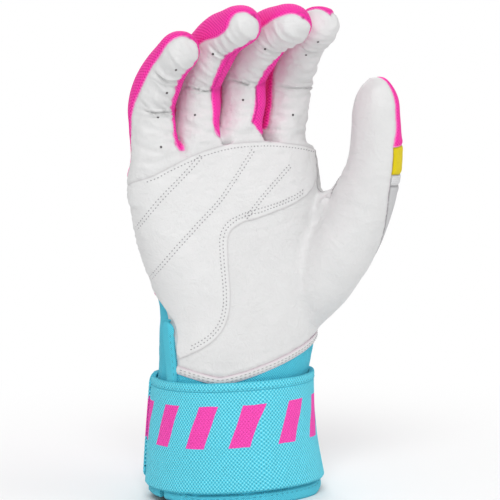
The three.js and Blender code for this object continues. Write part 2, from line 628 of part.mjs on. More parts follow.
function patchPiece(rows, columns, outerShares, innerShares) {
  const outer = smoothOutline(outerShares);
  const inner = smoothOutline(innerShares);
  return thinPiece(rows, columns, (u, v, side) => {
    const spot = outer.getPoint(v).lerp(inner.getPoint(v), u);
    const angle = spot.x * HALF_TURN;
    const height = lerp(hemHeight(angle), bodyTop(angle), spot.y);
    return handPoint(angle, height, side * PATCH_THICK - PATCH_THICK - 2 * SEAM_GAP);
  });
}
const patch = toManifold(patchPiece(8, 30, PATCH_OUTER_SHARES, PATCH_INNER_SHARES));
add('palm_patch', toGeometry(patch.subtract(thumbClear)), leatherPaint());
const gusset = toManifold(patchPiece(3, 5, GUSSET_OUTER_SHARES, GUSSET_INNER_SHARES));
add('thumb_web_gusset', toGeometry(gusset.subtract(thumbClear)), paint('#d5d5d5', 0.6));

// Hem, cuff and bindings
const besideBinding = fromSlit(SLIT_HALF_GAP + SLIT_BINDING_WIDTH + SEAM_GAP);
const slitFront = fromSlit(SLIT_HALF_GAP);
const slitBack = 2 * HALF_TURN + fromSlit(-SLIT_HALF_GAP);
const rimTop = (angle) => rimHeight(angle) + RIM_BAND;
add('palm_hem', handPiece({
  rows: 1, columns: 24, outward: BINDING_RAISE, thick: LEATHER_THICK + BINDING_RAISE,
  from: constant(besideBinding), to: constant(RADIAL_SEAM - seamShift),
  low: (angle) => hemHeight(angle) - SEAM_GAP - HEM_WIDTH, high: (angle) => hemHeight(angle) - SEAM_GAP,
}), leatherPaint());
add('cuff', handPiece({
  rows: 8, columns: 44, thick: CUFF_THICK,
  from: constant(besideBinding), to: constant(slitBack - seamShift),
  low: (angle) => rimTop(angle) + SEAM_GAP,
  high: (angle) => hemHeight(angle) - 2 * SEAM_GAP
    - HEM_WIDTH * (1 - smoothstep(angle, RADIAL_SEAM, 2 * RADIAL_SEAM)),
}), cuffPaint());
add('rim_binding', handPiece({
  rows: 2, columns: 48, outward: BINDING_RAISE, thick: CUFF_THICK + 2 * BINDING_RAISE,
  from: constant(slitFront), to: constant(slitBack), low: rimHeight, high: rimTop,
}), cuffPaint());
add('slit_binding', handPiece({
  rows: 12, columns: 4, outward: BINDING_RAISE, thick: CUFF_THICK + BINDING_RAISE,
  from: constant(slitFront), to: constant(fromSlit(SLIT_HALF_GAP + SLIT_BINDING_WIDTH)),
  low: (angle) => rimTop(angle) + SEAM_GAP,
  high: (angle) => {
    const off = (angle - slitFront) * WRIST_HALF_WIDTH - SLIT_BINDING_WIDTH / 2;
    const across = clamp(off / (SLIT_BINDING_WIDTH / 2), -1, 1);
    return SLIT_TOP - (SLIT_BINDING_WIDTH / 2) * (1 - Math.sqrt(1 - across * across));
  },
}), cuffPaint());

// Wrist strap: the sewn length with its hem, and the tab that peels off its field of loops
const strapOut = BINDING_RAISE + SEAM_GAP + STRAP_THICK;
const loopOut = SEAM_GAP + LOOP_THICK;
const hookOut = loopOut + SEAM_GAP + HOOK_THICK;
const tabOut = hookOut + SEAM_GAP + STRAP_THICK;
const hemLow = STRAP_TOP - STRAP_HEM;
const foldShift = SEAM_GAP / 2 / WAIST_HALF_DEPTH;
const marginTurn = FIELD_MARGIN / WAIST_HALF_DEPTH;
add('wrist_strap', handPiece({
  rows: 3, columns: 40, outward: strapOut, thick: STRAP_THICK,
  from: constant(STRAP_START), to: constant(STRAP_FOLD - foldShift),
  low: constant(STRAP_BOTTOM), high: constant(hemLow - SEAM_GAP),
}), cuffPaint());
add('strap_hem', handPiece({
  rows: 1, columns: 40, outward: strapOut + SEAM_GAP, thick: STRAP_THICK + SEAM_GAP,
  from: constant(STRAP_START), to: constant(STRAP_FOLD - foldShift),
  low: constant(hemLow), high: constant(STRAP_TOP),
}), cuffPaint());
const roundEnd = (angle) => {
  const share = clamp((angle - TAB_END + 2 * marginTurn) / (2 * marginTurn), 0, 1);
  return 2 * FIELD_MARGIN * (1 - Math.sqrt(1 - share * share));
};
add('strap_tab', handPiece({
  rows: 4, columns: 14, outward: tabOut, thick: STRAP_THICK,
  from: constant(STRAP_FOLD + foldShift), to: constant(TAB_END),
  low: (angle) => STRAP_BOTTOM + roundEnd(angle), high: (angle) => STRAP_TOP - roundEnd(angle),
}), cuffPaint());
const field = (outward, thick) => handPiece({
  rows: 3, columns: 10, outward, thick,
  from: constant(STRAP_FOLD + marginTurn), to: constant(TAB_END - 2 * marginTurn),
  low: constant(STRAP_BOTTOM + FIELD_MARGIN), high: constant(STRAP_TOP - FIELD_MARGIN),
});
add('loop_field', field(loopOut, LOOP_THICK), paint('#3ba2b5', 0.95));
add('hook_field', field(hookOut, HOOK_THICK), paint('#3ba2b5', 0.9));

// The origin is the middle of the foot of the glove's box
const box = new THREE.Box3().setFromObject(group);
const middle = box.getCenter(new THREE.Vector3());
for (const mesh of group.children) mesh.geometry.translate(-middle.x, -middle.y, -box.min.z);

export default group;
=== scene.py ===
import json
import math

import bmesh
import bpy
import numpy as np
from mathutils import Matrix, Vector, noise
from mathutils.bvhtree import BVHTree
from mathutils.kdtree import KDTree


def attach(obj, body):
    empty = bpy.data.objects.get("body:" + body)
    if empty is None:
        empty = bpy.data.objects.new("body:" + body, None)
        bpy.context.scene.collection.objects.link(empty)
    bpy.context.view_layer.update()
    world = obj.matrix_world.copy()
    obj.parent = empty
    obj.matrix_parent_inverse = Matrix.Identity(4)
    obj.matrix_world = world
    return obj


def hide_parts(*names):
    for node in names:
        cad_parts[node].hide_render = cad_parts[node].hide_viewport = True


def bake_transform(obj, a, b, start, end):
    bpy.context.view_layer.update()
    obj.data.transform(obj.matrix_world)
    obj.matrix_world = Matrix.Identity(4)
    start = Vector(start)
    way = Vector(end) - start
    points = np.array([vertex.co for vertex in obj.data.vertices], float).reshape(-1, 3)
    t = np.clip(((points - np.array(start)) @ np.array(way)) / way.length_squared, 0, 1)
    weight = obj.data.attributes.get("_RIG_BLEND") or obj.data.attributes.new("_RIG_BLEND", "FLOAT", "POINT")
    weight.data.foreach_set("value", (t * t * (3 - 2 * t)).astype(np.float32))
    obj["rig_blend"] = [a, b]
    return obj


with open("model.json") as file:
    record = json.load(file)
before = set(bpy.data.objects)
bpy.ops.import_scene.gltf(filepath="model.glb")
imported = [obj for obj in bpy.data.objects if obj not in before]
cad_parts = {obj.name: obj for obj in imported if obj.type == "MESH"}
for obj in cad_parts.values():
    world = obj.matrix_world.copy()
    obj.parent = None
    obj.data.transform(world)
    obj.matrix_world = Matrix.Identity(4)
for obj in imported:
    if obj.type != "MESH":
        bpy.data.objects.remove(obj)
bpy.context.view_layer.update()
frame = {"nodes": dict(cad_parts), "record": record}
scene = bpy.context.scene

# Camera. The photograph looks at the palm side from a little to the little finger's side
# and from slightly above. Lengths below are millimetres from the middle of the wrist.
rim_mount = Vector(frame["record"]["mounts"][0]["pos_m"]) * 1000
MIDDLE = Vector((0.5, -28.1, 0)) - rim_mount
LOOK_AT = (Vector((8, 0, 113)) - MIDDLE) / 1000
AZIMUTH, ELEVATION, DISTANCE, LENS, SENSOR = -28, 7, 1.1, 172.17, 36
turn, rise = math.radians(AZIMUTH), math.radians(ELEVATION)
toward = Vector((math.sin(turn) * math.cos(rise), -math.cos(turn) * math.cos(rise), math.sin(rise)))
camera = bpy.data.objects.new("camera", bpy.data.cameras.new("camera"))
scene.collection.objects.link(camera)
camera.location = LOOK_AT + toward * DISTANCE
camera.rotation_euler = (-toward).to_track_quat("-Z", "Y").to_euler()
camera.data.lens = LENS
camera.data.sensor_width = SENSOR
scene.camera = camera

bpy.context.view_layer.update()
view_turn = camera.matrix_world.to_3x3()
eye = camera.location * 1000 + MIDDLE


def seen(tree, x, y):
    """The spot of a surface that the photograph shows at a pixel, and the surface's direction there."""
    ray = view_turn @ Vector(((x - 250) / 500 * SENSOR / LENS, (250 - y) / 500 * SENSOR / LENS, -1))
    spot, normal, _, _ = tree.ray_cast(eye, ray.normalized())
    return (spot, normal) if spot is not None else None


# Shell. The glove's outside is one form: a hand body that narrows at the wrist, four fingers
# that curl toward the palm, and a thumb. It is lofted here, joined, and smoothed like leather
# that has taken the shape of the hand. The sewn panels are cut from it afterwards.
HAND = [  # height, half width, half depth, centre, squareness
    (0, 41.2, 29, 0.5, 2.2), (30, 37.8, 26.2, -1.1, 2.2), (54, 36.3, 24.6, -0.8, 2.2), (70, 37.8, 24.4, 1.2, 2.2),
    (88, 40, 22.5, 3, 2.2), (125, 46.4, 16, -2, 2.7), (165, 45, 13, -7, 2.7),
]
THUMB = [  # height, place, forward, radius
    (76, 25, 5, 10), (98, 37.2, 12.5, 15.4), (122, 49.8, 19.5, 15.6), (151, 58.0, 27, 12.7),
    (176, 57.6, 29.4, 10.9), (193, 57.4, 31, 9.3),
]
FINGERS = {  # place, width, tip width, lengths of the phalanges, bends, sideways spread for the joining
    "pinky": (-41, 22, 18, (27, 21, 21), (-5, 33, 52), -4.5),
    "ring": (-19.25, 21.5, 18.5, (29, 26, 24), (0, 42, 66), -1.5),
    "middle": (3, 23, 20, (29, 27, 23.5), (2, 46.5, 73), 1.5),
    "index": (26.25, 23.5, 18.5, (27.5, 24, 19), (4, 33, 60), 4.5),
}
BETWEEN = (-30, -8.5, 14.5)
GAP_SHIFTS = (-2.2, -5.2, -4.2)
GAP_SETTLE = 17
HUMPS = {"pinky": -2.0, "ring": 3.6, "middle": 3.2, "index": 0.8}  # thickness added behind the middle phalanx
PROUD = {"pinky": 3.4, "ring": 1.2}  # and added a little lower, where the slack cloth stands off
PROUD_AT, PROUD_REACH = 37, 12
TILT = math.radians(12)
AHEAD = np.array((math.sin(TILT), -math.cos(TILT), 0))
CURL_AXIS = np.array((math.cos(TILT), math.sin(TILT), 0))
UP = np.array((0.0, 0.0, 1.0))
TIP_CAP, THUMB_CAP, THUMB_TOP = 10, 14, 193


def spline(stations, at):
    """A smooth track through rows whose first value is where they stand."""
    rows = np.array(stations, float)
    x, y = rows[:, 0], rows[:, 1:]
    slopes = np.empty_like(y)
    slopes[1:-1] = (y[2:] - y[:-2]) / (x[2:] - x[:-2])[:, None]
    slopes[0] = (y[1] - y[0]) / (x[1] - x[0])
    slopes[-1] = (y[-1] - y[-2]) / (x[-1] - x[-2])
    at = np.clip(np.asarray(at, float), x[0], x[-1])
    i = np.clip(np.searchsorted(x, at, "right") - 1, 0, len(x) - 2)
    step = (x[i + 1] - x[i])[..., None]
    t = (at - x[i])[..., None] / step
    return ((2 * t**3 - 3 * t**2 + 1) * y[i] + (t**3 - 2 * t**2 + t) * step * slopes[i]
            + (3 * t**2 - 2 * t**3) * y[i + 1] + (t**3 - t**2) * step * slopes[i + 1])


def ease(x, low, high):
    """Zero below low, one above high, and a smooth climb between."""
    t = np.clip((np.asarray(x, float) - low) / (high - low), 0, 1)
    return t * t * (3 - 2 * t)


def rounded(v, power):
    return np.sign(v) * np.abs(v) ** (2 / power)


def hand_point(angle, height, outward=0.0):
    """The spot of the hand's body at an angle round it and a height, moved outward a little."""
    angle, height = np.broadcast_arrays(np.asarray(angle, float), np.asarray(height, float))
    wide, deep, centre, power = np.moveaxis(spline(HAND, height), -1, 0)
    across = (wide + outward) * rounded(np.cos(angle), power)
    back = (deep + outward) * rounded(np.sin(angle), power)
    lean = math.tan(TILT) * ease(height, 88, 165)
    return np.stack([centre + across - back * lean, back, height], -1)


def knuckle_height(place):
    """The height of the seam at the roots of the fingers, which arches over the hand."""
    off = np.asarray(place, float) - 3
    return 165 - np.where(off < 0, 17 * (off / 54) ** 2, 5 * (off / 40) ** 2)


def palm_depth(place):
    """Half the hand's depth at the knuckles, so that each finger starts as deep as the palm ends."""
    share = np.clip(np.abs((place + 7) / 45), 0, 1)
    return np.maximum(13 / math.cos(TILT) * (1 - share**2.7) ** (1 / 2.7), 5)


def gap_opening(rise, place):
    """The gaps start a little above the palm, and higher toward the thumb."""
    return ease(rise - np.interp(place, (-36, -14, 10), (0.8, 2.8, 3.8)), 0, 10)


def gap_shift(k, rise):
    """How far a gap between two fingers stands aside where it starts."""
    return GAP_SHIFTS[k] * (1 - ease(rise, 0, GAP_SETTLE))


def root_shift(name, rise):
    k = list(FINGERS).index(name)
    sides = (0,) + GAP_SHIFTS + (0,)
    return (sides[k] + sides[k + 1]) / 2 * (1 - ease(rise, 0, GAP_SETTLE))


def finger_line(name):
    """Where the middle of a finger runs, with its bend there: rows of length, place, bend."""
    place, _, _, lengths, bends, _ = FINGERS[name]
    total, first, second = sum(lengths), lengths[0], lengths[0] + lengths[1]
    at = np.linspace(0, total, 121)
    a, b, c = (math.radians(v) for v in bends)
    bend = a * ease(at, 0, 7) + (b - a) * ease(at, first - 7, first + 7) + (c - b) * ease(at, second - 7, second + 7)
    mid = (bend[1:] + bend[:-1]) / 2
    steps = (np.sin(mid)[:, None] * AHEAD + np.cos(mid)[:, None] * UP) * (total / 120)
    line = np.concatenate([[np.zeros(3)], np.cumsum(steps, 0)])
    return at, line + np.array((place, 0, float(knuckle_height(place)))), bend


def finger_section(name, s):
    """Half width, half depth and squareness of a finger at lengths along it."""
    place, width, tip, lengths, _, _ = FINGERS[name]
    total = sum(lengths)
    tube = total - TIP_CAP
    shrink = np.sqrt(np.clip(1 - (np.clip(s - tube, 0, TIP_CAP) / TIP_CAP) ** 2, 0, 1))
    wide = (width / 2 - 0.25 + (tip / 2 / math.cos(TILT) - width / 2 + 0.25) * ease(s, 0, tube)) * shrink
    power = 3.4 + (2.2 - 3.4) * ease(s, 0, 12)
    return wide, shrink, power


def finger_depth(name, s, sideways):
    place, _, _, lengths, _, _ = FINGERS[name]
    tube = sum(lengths) - TIP_CAP
    base = palm_depth(place + sideways)
    depth = base + (10.5 - base) * ease(s, 0, lengths[0])
    return depth + (9 - depth) * ease(s, lengths[0], tube)


def finger_ring(name, s, count):
    place, _, _, lengths, _, spread = FINGERS[name]
    at, line, bends = finger_line(name)
    angle = np.linspace(0, 2 * math.pi, count, endpoint=False)
    inside = max(-s, 0)
    held = max(s, 0)
    wide, shrink, power = finger_section(name, held)
    sideways = (wide - 0.1 * inside) * rounded(np.cos(angle), power)
    deep = finger_depth(name, held, sideways) * shrink - 0.15 * inside
    middle_phalanx = lengths[0] + lengths[1] / 2
    humped = HUMPS[name] * np.exp(-((held - middle_phalanx) / 20) ** 2) * shrink
    deep = deep + humped * np.clip(np.sin(angle) + 0.3, 0, 1)
    bend = np.interp(held, at, bends)
    centre = np.array([np.interp(held, at, line[:, k]) for k in range(3)]) - UP * inside
    back = -AHEAD * math.cos(bend) + UP * math.sin(bend)
    blend = float(ease(held, 0, 7))
    across = np.array((1.0, 0, 0)) * (1 - blend) + CURL_AXIS * blend * math.cos(TILT)
    proud = PROUD.get(name, 0) * math.exp(-((held - PROUD_AT) / PROUD_REACH) ** 2)
    deep = deep + proud * np.clip(np.sin(angle), 0, 1)
    sideways = sideways - 0.35 * proud * np.clip(-np.cos(angle), 0, 1)
    points = centre + sideways[:, None] * across + (deep * rounded(np.sin(angle), power))[:, None] * back
    points[:, 2] += (knuckle_height(place + sideways) - knuckle_height(place)) * (1 - ease(held, 0, lengths[0]))
    rise = points[:, 2] - knuckle_height(points[:, 0])
    points[:, 0] += spread * gap_opening(rise, points[:, 0]) + root_shift(name, rise)
    return points


def thumb_frame(height):
    """The thumb's middle, its three directions and its radius."""
    place, forward, radius = np.moveaxis(spline(THUMB, height), -1, 0)
    ahead, behind = spline(THUMB, height + 0.5), spline(THUMB, height - 0.5)
    along = np.stack([ahead[..., 0] - behind[..., 0], behind[..., 1] - ahead[..., 1], np.ones_like(place)], -1)
    along /= np.linalg.norm(along, axis=-1, keepdims=True)
    back = np.cross(along, CURL_AXIS)
    back /= np.linalg.norm(back, axis=-1, keepdims=True)
    across = np.cross(back, along)
    return np.stack([place, -forward, height], -1), along, back, across, radius


def thumb_ring(height, count):
    angle = np.linspace(0, 2 * math.pi, count, endpoint=False)
    centre, _, back, across, radius = thumb_frame(np.array(float(height)))
    share = min(max((height - (THUMB_TOP - THUMB_CAP)) / THUMB_CAP, 0), 0.999)
    radius = float(radius) * math.sqrt(1 - share * share)
    return centre + radius * (np.cos(angle)[:, None] * across + np.sin(angle)[:, None] * back)


def loft(bm, rings):
    """Bridges circles that are moved to the rings, with a face over the first and the last."""
    before = None
    for k, ring in enumerate(rings):
        circle = bmesh.ops.create_circle(bm, segments=len(ring), radius=1, cap_ends=k in (0, len(rings) - 1))["verts"]
        for vert, point in zip(circle, ring):
            vert.co = point
        edges = list(dict.fromkeys(e for v in circle for e in v.link_edges))
        if before:
            bmesh.ops.bridge_loops(bm, edges=before + edges)
        before = edges


HAND_FOOT, HAND_TOP = 38, 150


def hand_ring(share, count):
    angle = np.linspace(0, 2 * math.pi, count, endpoint=False)
    place = hand_point(angle, HAND_FOOT + share * (HAND_TOP - HAND_FOOT))[:, 0]
    return hand_point(angle, HAND_FOOT + share * (knuckle_height(place) - HAND_FOOT))


VOXEL = 0.85  # mm between the points of the shell
lofts = bmesh.new()
loft(lofts, [hand_ring(u, 96) for u in np.linspace(0, 1, 44)])
thumb_tube = THUMB_TOP - THUMB_CAP
thumb_steps = (*np.linspace(78, thumb_tube, 33), *(thumb_tube + THUMB_CAP * np.sin(np.linspace(0.1, 1.5, 12))))
loft(lofts, [thumb_ring(h, 40) for h in thumb_steps])
WEB_MIDDLE, WEB_HALF = Vector((43.5, -13, 131.5)), Vector((8, 8, 9))
for vert in bmesh.ops.create_icosphere(lofts, subdivisions=3, radius=1)["verts"]:
    vert.co = WEB_MIDDLE + vert.co * WEB_HALF
for name, (_, _, _, lengths, _, _) in FINGERS.items():
    tube = sum(lengths) - TIP_CAP
    rounding = tube + TIP_CAP * np.sin(np.linspace(0.12, 1.5, 10))
    steps = (*np.linspace(-12, 0, 6)[:-1], *np.linspace(0, tube, 36), *rounding)
    loft(lofts, [finger_ring(name, s, 44) for s in steps])
bmesh.ops.recalc_face_normals(lofts, faces=lofts.faces)
shell_mesh = bpy.data.meshes.new("shell")
lofts.to_mesh(shell_mesh)
lofts.free()
shell = bpy.data.objects.new("shell", shell_mesh)
scene.collection.objects.link(shell)
joined = shell.modifiers.new("joined", "REMESH")
joined.mode = "VOXEL"
joined.voxel_size = VOXEL
skin = bmesh.new()
skin.from_mesh(shell.evaluated_get(bpy.context.evaluated_depsgraph_get()).to_mesh())
bpy.data.objects.remove(shell)


def places(bm):
    return np.array([v.co for v in bm.verts], float).reshape(-1, 3)


def thumb_place(points):
    """Height along the thumb, angle round it, and distance from its middle in radii."""
    height = points[:, 2].copy()
    for _ in range(6):
        centre, along, back, across, radius = thumb_frame(height)
        off = points - centre
        height = np.clip(height + (off * along).sum(1) * along[:, 2], 76, THUMB_TOP - 2)
    centre, along, back, across, radius = thumb_frame(height)
    off = points - centre
    angle = np.arctan2((off * back).sum(1), (off * across).sum(1))
    return height, angle, np.linalg.norm(off, axis=1) / radius


def hand_place(points):
    """Angle round the hand, and distance from its middle where its face is at 1."""
    wide, deep, centre, power = np.moveaxis(spline(HAND, points[:, 2]), -1, 0)
    lean = math.tan(TILT) * ease(points[:, 2], 88, 165)
    across = (points[:, 0] - centre + points[:, 1] * lean) / wide
    back = points[:, 1] / deep
    far = (np.abs(across) ** power + np.abs(back) ** power) ** (1 / power)
    angle = np.arctan2(np.sign(back) * np.abs(back) ** (power / 2), np.sign(across) * np.abs(across) ** (power / 2))
    over = np.maximum(points[:, 2] - knuckle_height(points[:, 0]), 0)
    return angle, far + over / 8


# Leather that crosses a hollow pulls straight, so the web of the thumb is smoothed most.
for _ in range(7):
    bmesh.ops.smooth_vert(skin, verts=skin.verts, factor=0.5, use_axis_x=True, use_axis_y=True, use_axis_z=True)
points = places(skin)
_, _, from_thumb = thumb_place(points)
_, from_hand = hand_place(points)
skin.verts.ensure_lookup_table()
for reach, rounds in ((0.5, 12), (0.3, 14), (0.16, 14)):
    near = (from_thumb < 1 + reach) & (from_hand < 1 + reach * 0.55) & (points[:, 2] > 70)
    web = [skin.verts[i] for i in np.flatnonzero(near)]
    for _ in range(rounds):
        bmesh.ops.smooth_vert(skin, verts=web, factor=0.5, use_axis_x=True, use_axis_y=True, use_axis_z=True)

SPREADS = np.array([FINGERS[name][5] for name in FINGERS])
NAMES = list(FINGERS)


def which_finger(points):
    """Which slab of the hand a point stands in, before the fingers come together."""
    rise = points[:, 2] - knuckle_height(points[:, 0])
    slab = points[:, 0] + points[:, 1] * math.tan(TILT)
    middles = [b + gap_shift(k, rise) + gap_opening(rise, b) * (SPREADS[k] + SPREADS[k + 1]) / 2
               for k, b in enumerate(BETWEEN)]
    return sum((slab > m).astype(int) for m in middles), middles, slab


THUMB_FREE = 140  # above this height the thumb stands apart from the hand


def beside_thumb(points):
    """Which points are on the thumb's side of the gap between the thumb and the index finger."""
    return (points[:, 0] > 44.8) & (points[:, 2] < 196)


def together(points):
    """Brings the spread fingers back to where they stand."""
    finger, _, _ = which_finger(points)
    moved = points.copy()
    free = ~beside_thumb(points)
    for _ in range(5):
        rise = points[:, 2] - knuckle_height(moved[:, 0])
        moved[:, 0] = points[:, 0] - np.where(free, SPREADS[finger] * gap_opening(rise, moved[:, 0]), 0)
    slab = moved[:, 0] + moved[:, 1] * math.tan(TILT)
    rise = points[:, 2] - knuckle_height(moved[:, 0])
    for k, middle in enumerate(BETWEEN):
        edge = middle + gap_shift(k, rise)
        high = (rise > 0) & free
        moved[:, 0] += np.where(high & (finger == k) & (slab > edge - 0.1), edge - 0.1 - slab, 0)
        moved[:, 0] += np.where(high & (finger == k + 1) & (slab < edge + 0.1), edge + 0.1 - slab, 0)
    return moved


# Seams of the fingers. Each finger is leather in front and mesh behind, with a narrow strip of
# mesh on each side that faces another finger. Shares of its length, and half turns about it
# from the thumb side, the front being -0.5.
SEAMS = {
    "pinky": ([(0, -1.34), (0.1, -1.2), (0.2, -1.08), (0.3, -1.0), (0.5, -0.97), (0.7, -1.02), (0.88, -1.15),
               (1, -1.4)],
              [(0, -0.05), (0.022, -0.22), (0.05, -0.31), (0.1, -0.35), (0.22, -0.35), (0.43, -0.44), (0.58, -0.46),
               (0.68, -0.34), (0.78, -0.24), (0.87, -0.2), (1, -0.1)]),
    "ring": ([(0, -1.22), (0.03, -1.2), (0.08, -1.15), (0.16, -1.08), (0.47, -1.04), (0.6, -0.92), (0.71, -0.97),
              (0.81, -1.14), (1, -1.4)],
             [(0, -0.05), (0.03, -0.3), (0.055, -0.4), (0.09, -0.47), (0.3, -0.52), (0.45, -0.58), (0.58, -0.56),
              (0.7, -0.45), (0.79, -0.3), (0.88, -0.22), (1, -0.1)]),
    "middle": ([(0, -1.2), (0.03, -1.15), (0.07, -1.08), (0.13, -1.03), (0.28, -1.03), (0.41, -1.05), (0.57, -1.02),
                (0.66, -1.06), (0.78, -1.1), (1, -1.3)],
               [(0, -0.05), (0.03, -0.34), (0.055, -0.45), (0.09, -0.53), (0.32, -0.49), (0.41, -0.49), (0.5, -0.39),
                (0.68, -0.32), (0.8, -0.22), (1, -0.1)]),
    "index": ([(0, -1.18), (0.025, -1.1), (0.05, -0.99), (0.12, -0.95), (0.28, -0.97), (0.36, -1.03), (0.47, -1.08),
               (0.65, -1.22), (1, -1.4)],
              [(0, 0.08), (0.6, 0.02), (1, 0.25)]),
}


TUBE_SHARE = 0.66  # of the way along a finger, its round tip begins


def finger_place(points, finger):
    """Length along the finger and its share, and the angle round it, for points in their finger."""
    length = np.zeros(len(points))
    share = np.zeros(len(points))
    angle = np.zeros(len(points))
    for k, name in enumerate(NAMES):
        low = knuckle_height(points[:, 0]) - 6
        mine = np.flatnonzero((finger == k) & (points[:, 2] > low) & ~beside_thumb(points))
        if not len(mine):
            continue
        at, line, bends = finger_line(name)
        place, _, _, lengths, _, _ = FINGERS[name]
        total = sum(lengths)
        tube = total - TIP_CAP
        p = points[mine].copy()
        p[:, 0] -= root_shift(name, p[:, 2] - knuckle_height(p[:, 0]))
        forward = -(p - line[0]) @ AHEAD
        flat = np.stack([-forward, p[:, 2]], 1)
        track = np.stack([(line - line[0]) @ AHEAD, line[:, 2]], 1)
        lift = knuckle_height(p[:, 0]) - knuckle_height(place)
        for _ in range(2):
            shown = flat - np.stack([np.zeros(len(p)), lift * (1 - ease(length[mine], 0, lengths[0]))], 1)
            best = ((shown[:, None, :] - track[None]) ** 2).sum(2).argmin(1)
            bend = bends[best]
            run = np.sin(bend) * (shown[:, 0] - track[best, 0]) + np.cos(bend) * (shown[:, 1] - track[best, 1])
            length[mine] = np.clip(at[best] + run, -8, total)
        s = length[mine]
        held = np.clip(s, 0, total - 0.3)
        bend = np.interp(held, at, bends)
        centre = np.stack([np.interp(held, at, line[:, i]) for i in range(3)], 1)
        blend = ease(held, 0, 7)
        sideways = ((p[:, 0] - centre[:, 0]) * (1 - blend)
                    + ((p - centre) @ CURL_AXIS) / math.cos(TILT) * blend)
        back = np.stack([-AHEAD[0] * np.cos(bend), -AHEAD[1] * np.cos(bend), np.sin(bend)], 1)
        depth = ((p - centre - UP * (lift * (1 - ease(held, 0, lengths[0])))[:, None]) * back).sum(1)
        wide, shrink, power = finger_section(name, held)
        deep = finger_depth(name, held, np.clip(sideways, -wide, wide)) * shrink
        x, y = sideways / np.maximum(wide, 0.5), depth / np.maximum(deep, 0.5)
        angle[mine] = np.arctan2(np.sign(y) * np.abs(y) ** (power / 2), np.sign(x) * np.abs(x) ** (power / 2))
        over = np.clip((s - tube) / TIP_CAP, 0, 1)
        share[mine] = np.where(s < tube, TUBE_SHARE * np.clip(s, 0, None) / tube,
                               TUBE_SHARE + (1 - TUBE_SHARE) * np.arcsin(over) / (math.pi / 2))
    return length, share, angle


def seam_turns(finger, share):
    """The angles of a finger's four seams: leather and fourchette, on either side."""
    ulnar, radial = np.zeros(len(share)), np.zeros(len(share))
    for k, name in enumerate(NAMES):
        mine = finger == k
        ulnar[mine] = spline(SEAMS[name][0], share[mine])[:, 0] * math.pi
        radial[mine] = spline(SEAMS[name][1], share[mine])[:, 0] * math.pi
    spread = np.where(share > 0.74, 0, 1 - 0.75 * (share / 0.74) ** 2)
    back_ulnar = ulnar - np.where(finger == 0, 0, math.radians(45) * spread)
    back_radial = radial + np.where(finger == 3, 0, math.radians(80) * spread)
    return ulnar, radial, back_ulnar, back_radial


# Seams of the body: the slit and the little finger's side, the thumb side, and the hem, which dips
# at the heel of the palm and rises on the back, where the cuff goes up to the knuckles.
WRIST = 37.8  # mm that the cuff stands from its middle, which turns lengths round it into angles
RADIAL_SEAM = math.radians(22)
SLIT = math.radians(-170)
THUMB_SEAM = math.radians(92)
BAND_LOW, THUMB_KNUCKLE, TAB_TOP = 146.6, 151.0, 161.8


def hem_height(angle):
    """How high the lower edge of the leather and of the back stands."""
    share = (hand_point(angle, 70)[..., 0] + 18) / 54
    hem = 58.8 + np.where(share < 0, 23, 15.2) * np.abs(share) ** 1.3
    behind = 98 - 4 * ease(angle, 4 * RADIAL_SEAM, 6 * RADIAL_SEAM)
    return hem + (behind - hem) * ease(angle, -RADIAL_SEAM, 3 * RADIAL_SEAM)


def ulnar_seam(height):
    """The angle of the seam between palm and back at the little finger's side."""
    aside = 7.8 - 9.8 * ease(height, 62, 88)
    aside = aside - (27 + aside) * ease(height, 86, 104) - 12 * ease(height, 108, 130)
    return SLIT + aside / WRIST


def body_angle(angle, height):
    """The angle without its jump, from the little finger's seam round the palm to the back."""
    edge = ulnar_seam(height) - math.radians(0.01)
    angle = np.where(angle < edge, angle + 2 * math.pi, angle)
    return np.where(angle > edge + 2 * math.pi, angle - 2 * math.pi, angle)


def thumb_side(f):
    """Above zero on the back of the thumb, whose front seam turns out of sight toward the wrist."""
    height = f["height"]
    narrowed = math.radians(66) * (1 - ease(height, 96, 152)) + math.radians(16) * ease(height, 160, 172)
    spread = np.where(f["thumb_angle"] < 0, THUMB_SEAM - narrowed, THUMB_SEAM)
    return np.cos(f["thumb_angle"]) - np.cos(spread)


def wrapped(angle):
    return (angle + math.pi) % (2 * math.pi) - math.pi


def fields(spread_points):
    """What the seams are cut by: for every point, how far it is from each of them."""
    finger, middles, slab = which_finger(spread_points)
    p = together(spread_points)
    rise = p[:, 2] - knuckle_height(p[:, 0])
    height, thumb_angle, from_thumb = thumb_place(p)
    angle, from_hand = hand_place(p)
    thumb = from_hand - from_thumb
    thumb = np.where(beside_thumb(p), np.where(p[:, 2] > THUMB_FREE, 1.0, thumb), np.where(rise > -1, -1.0, thumb))
    length, share, turn = finger_place(p, finger)
    ulnar, radial, back_ulnar, back_radial = seam_turns(finger, share)
    return dict(points=p, finger=finger, middles=middles, slab=slab, rise=rise, height=height,
                thumb_angle=thumb_angle, angle=angle, thumb=thumb, length=length, share=share, turn=turn,
                ulnar=ulnar, radial=radial, back_ulnar=back_ulnar, back_radial=back_radial)


